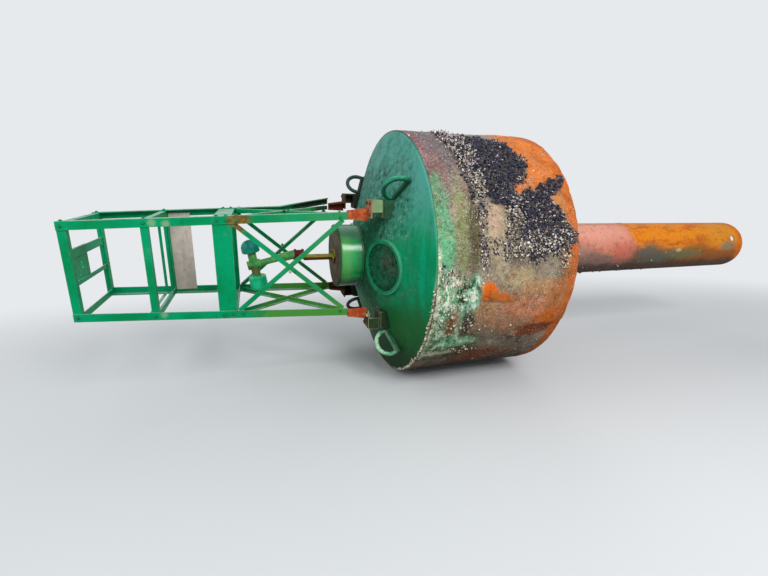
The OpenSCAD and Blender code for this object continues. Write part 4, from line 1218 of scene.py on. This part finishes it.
# %% Tail tube
TAIL_PATCHES = [
    # screen colour, (t, angle), (half t, half angle), share
    ((230, 160, 140), (2.60, 36), (0.50, 26), 0.8),
    ((150, 124, 112), (2.20, 80), (0.30, 14), 0.6),
    ((206, 112, 92), (3.04, 92), (0.18, 24), 0.9),
    ((96, 92, 82), (3.46, 104), (0.34, 26), 0.95),
    ((92, 98, 84), (3.80, 106), (0.30, 18), 0.85),
    ((118, 110, 76), (4.12, 100), (0.34, 14), 0.85),
    ((190, 92, 16), (4.40, 66), (0.16, 12), 0.8),
    ((136, 92, 40), (4.30, 84), (0.20, 9), 0.7),
    ((214, 140, 36), (4.85, 45), (0.38, 36), 0.7),
    ((138, 126, 100), (4.92, 82), (0.13, 13), 0.9),
    ((200, 186, 138), (3.96, 90), (0.05, 4), 0.8),
    ((218, 106, 16), (5.20, 90), (0.07, 80), 0.9),
]
tail = SitedFinish("tail_paint", roughness=0.75, gloss=0.2)
turn, ragged = tail.angle(), tail.ragged(4.5, 26.0)
bent = tail.bend(turn, ragged, 24.0)
tail.colour = tail.clouds((228, 132, 20), (196, 98, 14), (6.0, 8.0, 0.7, (0.6, 1.6, 1.6)), 0.44, 0.62)
# The lower half is darker: dirt with painted shade.
tail.worn((148, 88, 40), bent, 82.0, 98.0, 0.9)
oxide = tail.clouds((218, 140, 118), (200, 120, 98), (7.0, 8.0, 0.7), 0.44, 0.62)
oxide = tail.mix(oxide, (128, 106, 98), tail.rise(bent, 80.0, 98.0), 0.9)
border = tail.maths("SUBTRACT", tail.bend(tail.t, ragged, 0.22), tail.times(turn, 0.0012))
tail.worn(oxide, border, 3.16, 3.04)
for tint, middle, half, most in TAIL_PATCHES:
    tail.layer(tint, tail.patch(tail.t, turn, middle, half, ragged, 0.5), most)
# The belly darkens to nearly black: dirt with painted shade.
tail.worn((72, 62, 54), bent, 110.0, 130.0, 0.85)
tail.worn((34, 28, 22), bent, 136.0, 160.0, 0.85)
tail.worn((150, 128, 104), bent, 22.0, 6.0, 0.5)
tail.worn((104, 58, 34), (16.0, 9.0, 0.75), 0.54, 0.68, 0.75)
tail.worn((240, 182, 96), (24.0, 8.0, 0.75, (0.5, 1.0, 1.0)), 0.58, 0.70, 0.55)
tail.worn((52, 44, 36), (34.0, 6.0, 0.75), 0.60, 0.70, 0.7)
tail.bumps((4.0, 4.0), 0.012, 0.5)
tail.bumps((36.0, 10.0, 0.75), 0.007, 0.9)
coat(tail, "tail_tube", roughness=tail.add(tail.times(tail.noise(14.0), 0.3), 0.55))

# %% [markdown]
# ## The dished bottom plate and the mooring lugs
# These stayed below the waterline. The plate is a patchwork of orange rust, brown scale
# and grey slime, and the lugs are dark and pitted, polished a little where the chain
# moved in the eyes.

# %% Bottom plate and lugs
bottom = SitedFinish("bottom_rust", roughness=0.85)
bottom.colour = bottom.rust(11.0, (212, 112, 34), (168, 82, 32), (84, 50, 34))
bottom.worn((132, 118, 98), (3.0, 8.0, 0.7), 0.52, 0.62, 0.85)
bottom.worn((62, 50, 40), bottom.bend(bottom.angle(), bottom.ragged(3.5, 20.0), 24.0), 112.0, 150.0, 0.85)
bottom.worn((224, 142, 62), (24.0, 8.0, 0.75), 0.58, 0.70, 0.6)
bottom.bumps((2.4, 3.0), 0.030, 0.5)
bottom.bumps((34.0, 10.0, 0.75), 0.010, 0.9)
coat(bottom, "bottom_head")

lug = SitedFinish("lug_rust", roughness=0.7)
lug.normal = lug.rounded(0.005)
lug.colour = lug.rust(18.0, (168, 96, 52), (120, 66, 38), (56, 38, 30))
lug.layer((150, 132, 118), lug.edges(lug.normal), 0.4)
lug.bumps((50.0, 9.0, 0.75), 0.006, 0.8)
coat(lug, "mooring_lugs")

# %% [markdown]
# ## Weld beads
# Every joint on the buoy is arc welded. A bead is a thin tube of six-sided rings along
# the joint, and its radius swells and shrinks a little from ring to ring, like the
# scales that the welder's hand leaves. A path is given by a few corners and filled in
# with points every few millimetres, then dropped onto the plate that it lies on.

# %% Paths on the end plates
DISH_SPHERE = (HULL_R ** 2 + DISH_RISE ** 2) / (2 * DISH_RISE)
CONE_ANGLE = math.atan(HEAD_RISE / (HULL_R - LAND_R))
SIDES = (("near", -1), ("far", 1))
BEAD_SIDES = 6
print("cone", round(math.degrees(CONE_ANGLE), 1), "degrees, dish sphere", round(DISH_SPHERE, 2), "m")


def dish_t(radius):
    """Where the dished plate lies along the axis at a radius: part of a sphere."""
    return HULL_LEN + np.sqrt(DISH_SPHERE ** 2 - radius ** 2) - DISH_SPHERE + DISH_RISE


def beside_axis(angle, radius, along, across):
    """The y and z of points that lie outward and sideways of a place round the axis."""
    a = math.radians(angle)
    outward = radius + along
    return -outward * math.sin(a) + across * math.cos(a), outward * math.cos(a) + across * math.sin(a)


def filled(corners, spacing=0.006):
    """A closed path with a point every spacing metres along the straight lines between corners."""
    corners = np.asarray(corners)
    after = np.roll(corners, -1, axis=0)
    count = np.maximum(np.ceil(np.linalg.norm(after - corners, axis=1) / spacing).astype(int), 1)
    owner = np.repeat(np.arange(len(corners)), count)
    share = (np.arange(count.sum()) - np.repeat(np.cumsum(count) - count, count)) / count[owner]
    return corners[owner] + (after - corners)[owner] * share[:, None]


def circle(radius, spacing=0.006):
    """Points of a circle in the plane, every spacing metres."""
    a = around(int(2 * np.pi * radius / spacing))
    return np.stack([radius * np.cos(a), radius * np.sin(a)], 1)


def bead(name, path, outward, size, finish, slot=None):
    """A closed tube along a path, centred on it. A ring of six points stands across the path at
    each of its points, and every third ring is swollen by a fifth."""
    run = np.roll(path, -1, axis=0) - np.roll(path, 1, axis=0)
    run /= np.linalg.norm(run, axis=1, keepdims=True)
    up = outward - np.sum(outward * run, axis=1, keepdims=True) * run
    up /= np.linalg.norm(up, axis=1, keepdims=True)
    beside = np.cross(run, up)
    a = around(BEAD_SIDES)[None, :, None]
    scale = size * (1 + 0.2 * np.cos(np.arange(len(path)) * 2 * np.pi / 3))[:, None, None]
    rings = path[:, None] + scale * (beside[:, None] * np.cos(a) + up[:, None] * np.sin(a) * 0.8)
    return make_piece(name, rings, [grid_faces(len(path), BEAD_SIDES, wrap_rows=True)], finish, slot)


# %% Beads round the tube
AXIS_BEADS = [
    # name, along the axis, radius, the bead's own radius, finish
    ("collar_foot_weld", -HEAD_RISE - 0.010, TUBE_R + 0.010, 0.008, collar),
    ("cover_weld", -COLLAR_TOP + COVER_T, TUBE_R + 0.001, 0.005, collar),
    ("tail_foot_weld", float(dish_t(LAND_R)) + 0.010, TUBE_R + 0.010, 0.009, tail),
    ("tail_seam", 3.235, TUBE_R, 0.005, tail),
]
for name, t, radius, size, finish in AXIS_BEADS:
    ring = circle(radius)
    path = to_part(t, ring[:, 0], ring[:, 1])
    bead(name, path, path - to_part(t, 0.0, 0.0), size, finish)


# %% Beads round the pockets and the blocks of the bails and feet
def cone_bead(name, side, angle, radius, outline, size, finish, slot=None):
    """A bead on the conical plate round an outline that is given outward and sideways of a place."""
    y, z = beside_axis(angle, radius, outline[:, 0], outline[:, 1])
    path = to_part(cone_t(np.hypot(y, z)), -side * y, z)
    off_cone = in_part(-math.cos(CONE_ANGLE), 0.0, 0.0)
    return bead(name, path, np.broadcast_to(off_cone, path.shape), size, finish, slot)


FOOT_T, FOOT_OVER, FOOT_INSET, FOOT_BLOCK = 0.357, 0.108, 0.080, 0.162
BAIL_SPAN, BAIL_R, BAIL_BESIDE, BAIL_OVER = 0.232, 0.936, 0.016, 0.014
POCKET_BEAD, FOOT_BEAD, BAIL_BEAD = 0.007, 0.007, 0.009
FOOT_EDGE = TOP_HALF + TAPER * (TOWER_H - FOOT_T) + FOOT_OVER
foot_out = (FOOT_EDGE - FOOT_INSET) * math.sqrt(2)
diamond = filled(np.array([[1, 0], [0, 1], [-1, 0], [0, -1]]) * (FOOT_BLOCK / math.sqrt(2)))
bail_outline = filled(np.array([[1, 1], [-1, 1], [-1, -1], [1, -1]])
                      * [(BAIL_SPAN / 2 + BAIL_OVER) * math.cos(CONE_ANGLE), BAIL_BESIDE])
pocket_outline = circle(POCKET_RING) * [math.cos(CONE_ANGLE), 1]
for label, side in SIDES:
    cone_bead("pocket_weld_" + label, side, 90.0, POCKET_R, pocket_outline, POCKET_BEAD, head,
              "pocket_green")
    for level, bail_angle, foot_angle in (("top", 43.5, 45.0), ("bottom", 141.0, 135.0)):
        cone_bead(f"foot_weld_{label}_{level}", side, foot_angle, foot_out, diamond, FOOT_BEAD, foot)
        cone_bead(f"bail_weld_{label}_{level}", side, bail_angle, BAIL_R, bail_outline, BAIL_BEAD, bail)

# %% [markdown]
# ## Bolts
# The lattice is bolted: every frame, brace and crossbar ends in hexagon heads on
# washers, and so do the flange of the riser, the feet and the pocket covers. A bolt is
# a turned profile whose middle rings are hexagons. Some heads are painted over, some
# are rusty and a few are bleached.


# %% The bolt and its finishes
def bolt_shape(sides=12):
    """A hexagon head on a washer, of unit washer radius, with its foot at zero. Each ring has
    twelve points, and those of a hexagon lie at its flat's distance over the cosine of the angle
    from the nearest flat's middle."""
    b = around(sides)
    hexagon = 0.62 / np.cos((b + np.pi / 6) % (np.pi / 3) - np.pi / 6)
    # ring radius, height, 1 for a hexagon
    profile = np.array([(1.0, -0.10, 0), (1.0, 0.14, 0), (1.0, 0.16, 1), (1.0, 0.62, 1), (0.82, 0.72, 1)])
    radius = profile[:, :1] * np.where(profile[:, 2:] > 0, hexagon, 1.0)
    rings = np.stack([radius * np.cos(b), radius * np.sin(b), profile[:, 1:2] + 0 * b], -1)
    return closed_rings(rings, [0, 0, -0.10], [0, 0, 0.72])


def bolt_look(name, fresh, worn, rusty, bleached):
    """A finish for bolt heads: a share of them is rusty and a share is bleached, by their lot."""
    look = Finish(name, roughness=0.6, gloss=0.2)
    lot, _ = look.own("lot")
    look.colour = look.clouds(fresh, worn, (40.0, 6.0, 0.7))
    look.worn((96, 66, 44), lot, 1 - rusty - bleached, 1.02 - rusty - bleached)
    look.worn((172, 182, 152), lot, 1 - bleached, 1.02 - bleached)
    look.bumps((150.0, 5.0), 0.001, 0.6)
    look.done()
    return look


bolt = bolt_shape()
FRAME_WASHER, BRACE_WASHER, FLANGE_WASHER, FOOT_WASHER, NUT_WASHER = 0.015, 0.014, 0.013, 0.020, 0.017
painted_bolt = bolt_look("bolt_painted", (4, 130, 84), (40, 110, 70), 0.06, 0.05)
rusty_bolt = bolt_look("bolt_rusty", (110, 70, 42), (76, 66, 40), 0.30, 0.10)
dark_bolt = bolt_look("bolt_dark", (20, 54, 36), (38, 76, 56), 0.10, 0.14)
print("a bolt has", len(bolt[0]), "points")


def bolts(name, places, outward, size, finish, slot):
    """Bolts at places, with their heads along outward directions, of a washer's radius."""
    spins = np.random.default_rng(len(places)).uniform(0, 6.28, len(places))
    frames = facing(np.broadcast_to(outward, places.shape), spins)
    return strew(name, bolt, places, frames, np.full((1, 1), size), finish, slot, smooth=False)


# %% Bolts on the tower's faces
def on_tower(turn, station, inset, lift=0.0):
    """Places and outward directions on a face of the tower: at a station, at an inset from the
    tower's edge (negative from the other edge), and lifted off the legs' outer face. Turn 0 is the
    near face, 90 the bottom, 180 the far face and 270 the top."""
    turn, station, inset = np.radians(turn), np.asarray(station), np.asarray(inset)
    half = TOP_HALF + TAPER * (TOWER_H - station)
    across = np.sign(inset) * (half - np.abs(inset))
    lean = math.atan(TAPER)
    down = -half - lift * math.cos(lean)
    y, z = down * np.cos(turn) - across * np.sin(turn), down * np.sin(turn) + across * np.cos(turn)
    outward = in_part(-math.sin(lean), -np.cos(turn) * math.cos(lean), -np.sin(turn) * math.cos(lean))
    place = to_part(-station - lift * math.sin(lean), y, z)
    return np.stack([place, np.broadcast_to(outward, place.shape)])


def tower_bolts(name, size, stations, insets, lift=0.0):
    """The same bolts on each of the tower's four faces."""
    faces = [on_tower(turn, stations, insets, lift) for turn in (0, 90, 180, 270)]
    places, outward = np.concatenate(faces, axis=1)
    return bolts(name, places, outward, size, painted_bolt, "tower_green")


FRAME_ROWS = [(2.662, 0.034), (2.124, 0.034), (1.531, 0.034), (1.603, 0.034), (1.452, 0.042), (0.600, 0.042)]
CROSSING, HALF_PITCH, CROSSING_IN, TO_BRACE = 1.0235, 0.018, 0.5, -0.0083
stations, insets = np.repeat(FRAME_ROWS, 2, axis=0).T
tower_bolts("frame_bolts", FRAME_WASHER, stations, insets * np.tile([-1, 1], len(FRAME_ROWS)))
tower_bolts("brace_bolts", BRACE_WASHER, [CROSSING - HALF_PITCH, CROSSING + HALF_PITCH],
            [CROSSING_IN, CROSSING_IN], TO_BRACE)

# %% Bolts of the riser flange and the feet
TOWARDS_TOWER = in_part(-1.0, 0.0, 0.0)
FLANGE_T, FLANGE_R, FLANGE_Z = COLLAR_TOP + 0.0183, 0.056, -0.010
ring_six = np.radians(np.arange(6) * 60 + 30)
flange = to_part(-FLANGE_T, FLANGE_R * np.sin(ring_six), FLANGE_Z + FLANGE_R * np.cos(ring_six))
bolts("flange_bolts", flange, TOWARDS_TOWER, FLANGE_WASHER, rusty_bolt, "riser_pipe")
BY_EDGE, BY_MIDDLE = 0.032, 0.128
corner_out = FOOT_EDGE - np.array([[BY_EDGE, BY_EDGE], [BY_EDGE, BY_MIDDLE], [BY_MIDDLE, BY_EDGE]])
signs = np.array([[y, z] for y in (-1, 1) for z in (-1, 1)])
feet_y, feet_z = (signs[:, None] * corner_out[None]).reshape(-1, 2).T
bolts("foot_bolts", to_part(-FOOT_T, feet_y, feet_z), TOWARDS_TOWER, FOOT_WASHER, rusty_bolt, "foot_green")


# %% Nuts of the pocket covers
def cone_place(side, angle, radius, x, y, lift):
    """Points near the conical plate: x down its slope and y round the axis from a place at an
    angle and a radius, and lift off the plate."""
    c, s = math.cos(CONE_ANGLE), math.sin(CONE_ANGLE)
    t = cone_t(radius) + x * s - lift * c
    across, up = beside_axis(angle, radius, x * c + lift * s, y)
    return to_part(t, -side * across, up)


NUTS, NUT_RING = 14, 0.186
studs = np.radians(np.arange(NUTS) * 360 / NUTS)
x, y = NUT_RING * np.cos(studs), NUT_RING * np.sin(studs)
for label, side in SIDES:
    on_plate, on_cover, one_metre_off = (cone_place(side, 90.0, POCKET_R, x, y, lift)
                                         for lift in (0.0, POCKET_COVER, 1.0))
    bolts("pocket_nuts_" + label, on_cover, one_metre_off - on_plate, NUT_WASHER, dark_bolt, "pocket_dark")

# %% [markdown]
# ## Barnacles on the other steel
# A few barnacles also hold on where the plates stayed wet: along the lower part of the
# top plate's rim, over the dished bottom plate and round the root of the tail tube.
# They reuse the acorn barnacle, at places worked out from each surface's own formula.

# %% Barnacles on the plates and the tube
RIM_COUNT, DISH_COUNT, TUBE_COUNT = 260, 1500, 260
RIM_TURNS, TUBE_TURNS, TUBE_FROM, TUBE_FADE, TUBE_TO = (92, 160), (60, 300), 1.60, 0.5, 4.4
DISH_FROM, DISH_SPAN, DISH_CROWDED = 0.36, 0.82, 0.15
rng = np.random.default_rng(41)
turn, radius = rng.uniform(*RIM_TURNS, RIM_COUNT), HULL_R - rng.exponential(0.006, RIM_COUNT) - 0.004
rim_place = round_axis(cone_t(radius), turn, radius)
acorn_piece("rim_barnacles", rim_place, np.broadcast_to(TOWARDS_TOWER, rim_place.shape), rng, "head_green")

turn, radius = rng.uniform(0, 360, DISH_COUNT), DISH_FROM + DISH_SPAN * np.sqrt(rng.random(DISH_COUNT))
dish_place = round_axis(dish_t(radius), turn, radius)
kept = (cloud(dish_place, 3.0, 120, 3) > DISH_CROWDED) & (dish_place[:, 2] > OFF_FLOOR)
outward = dish_place - to_part(HULL_LEN + DISH_RISE - DISH_SPHERE, 0.0, 0.0)
acorn_piece("dish_barnacles", dish_place[kept], outward[kept] / DISH_SPHERE, rng, "bottom_rust")

t = TUBE_FROM + rng.exponential(TUBE_FADE, TUBE_COUNT)
turn, kept = rng.uniform(*TUBE_TURNS, TUBE_COUNT), t < TUBE_TO
tube_place, outward = round_axis(t, turn, TUBE_R)[kept], outward_at(t, turn)[kept]
acorn_piece("tube_barnacles", tube_place, outward, rng, "tail_paint")

# %% Measure and finish
low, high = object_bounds()
{"cad": [list(cad_low), list(cad_high)], "visual": [list(low), list(high)]}
print("visual box", [round(v, 3) for v in low], [round(v, 3) for v in high])
